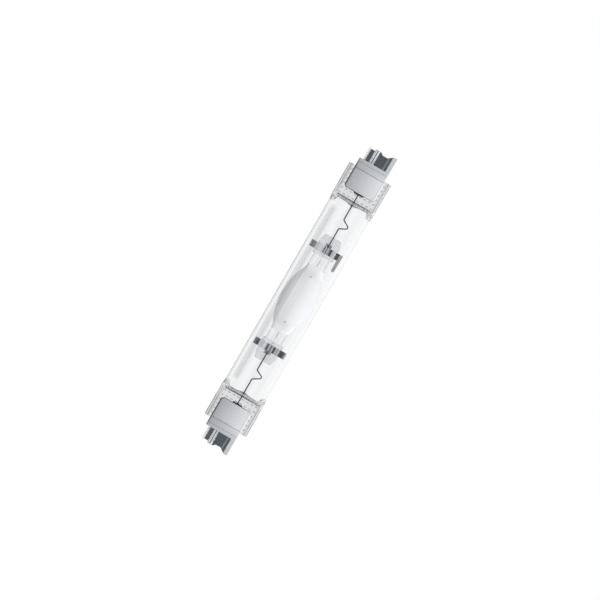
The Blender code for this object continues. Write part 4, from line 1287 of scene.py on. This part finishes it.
def floor():
    """A plain white light table under the lamp, dimmer in reflections on the left."""
    level = CAD_BOX[0].z - FLOOR_GAP
    corners = ((-1, -1), (1, -1), (1, 1), (-1, 1))
    bm = bmesh.new()
    bm.faces.new([bm.verts.new((FLOOR_HALF * x, FLOOR_HALF * y, level)) for x, y in corners])
    obj = mesh_object("floor", bm)
    made = bpy.data.materials.new("white_floor")
    made.use_nodes = True
    tree = made.node_tree
    tree.nodes.clear()
    path = tree.nodes.new("ShaderNodeLightPath").outputs
    diffuse = maths("GREATER_THAN", path["Diffuse Depth"], 0.5)
    seen = maths("MAXIMUM", path["Is Camera Ray"], path["Is Transmission Ray"])
    seen = maths("MULTIPLY", seen, maths("SUBTRACT", 1.0, diffuse))
    y = axes(place(tree))[1]
    side = mapped(y, -TUBE_RADIUS, TUBE_RADIUS, 0.95, 0.15)
    side = mixed_colour(diffuse, side, (0.6, 0.6, 0.6))
    glow = tree.nodes.new("ShaderNodeEmission")
    feed(glow, Color=mixed_colour(seen, side, (1.0, 1.0, 1.0)))
    clear = tree.nodes.new("ShaderNodeBsdfTransparent")
    turned = tree.nodes.new("ShaderNodeNewGeometry")
    both = tree.nodes.new("ShaderNodeMixShader")
    tree.links.new(turned.outputs["Backfacing"], both.inputs[0])
    tree.links.new(glow.outputs[0], both.inputs[1])
    tree.links.new(clear.outputs[0], both.inputs[2])
    feed(tree.nodes.new("ShaderNodeOutputMaterial"), Surface=both.outputs[0])
    obj.data.materials.append(made)


def camera():
    """Straight above the lamp, turned so that it leans to the right as in the photograph."""
    data = bpy.data.cameras.new("camera")
    data.lens = 200
    data.sensor_width = 36
    data.clip_end = 20
    obj = bpy.data.objects.new("camera", data)
    obj.location = CAMERA_PLACE
    obj.rotation_euler = (0, 0, CAMERA_TURN)
    bpy.context.scene.collection.objects.link(obj)
    bpy.context.scene.camera = obj


def finish_nodes():
    """Gives the CAD nodes that stay their materials."""
    kept = {
        "cap_cement": CEMENT,
        "outer_lead": WIRE_METAL,
        "seal_foil": FOIL_METAL,
        "electrode": TUNGSTEN,
    }
    for name, material in kept.items():
        for end in ENDS:
            obj = frame["nodes"][f"{name}_{end}"]
            obj.data.materials.clear()
            obj.data.materials.append(material)


QUARTZ = quartz_material()
ARC_QUARTZ = arc_material()
# The wires and seal foils get dark base colours, darker than the bare metal: painted shade.
WIRE_METAL = metal_material(
    "wire_finish", (0.07, 0.075, 0.085), (0.11, 0.115, 0.13), (0.3, 0.45), (0.1, 1, 1)
)
FOIL_METAL = metal_material("foil_finish", (0.10, 0.105, 0.11), (0.18, 0.185, 0.19), (0.35, 0.5))
ARC_FOIL = arc_foil_material()
# Near white and not metallic: painted light, so the electrodes show faint through the glass.
TUNGSTEN = metal_material(
    "tungsten_finish", (0.88, 0.88, 0.89), (0.94, 0.94, 0.95), (0.5, 0.65), metallic=0.0
)
SPRING = spring_material()
GETTER_METAL = metal_material(
    "getter_finish", (0.50, 0.505, 0.515), (0.62, 0.625, 0.635), (0.35, 0.5)
)
NICKEL = metal_material(
    "plate_finish", (0.50, 0.515, 0.54), (0.58, 0.595, 0.62), (0.14, 0.24), (0.15, 1, 1)
)
PIN_METAL = metal_material(
    "pin_finish", (0.90, 0.905, 0.92), (0.96, 0.965, 0.975), (0.28, 0.38), metallic=0.55
)
CERAMIC = ceramic_material()
CEMENT = cement_material()

envelope()
arc_tube()
getter()
for end, side in ENDS.items():
    arc_foil(end, side)
    lead_wire(end, side)
    support_clip(end, side)
    ceramic_cap(end, side)
    contact_plate(end, side)
    contact_pin(end, side)
finish_nodes()
world()
floor()
camera()
bpy.context.scene.view_settings.view_transform = "Standard"
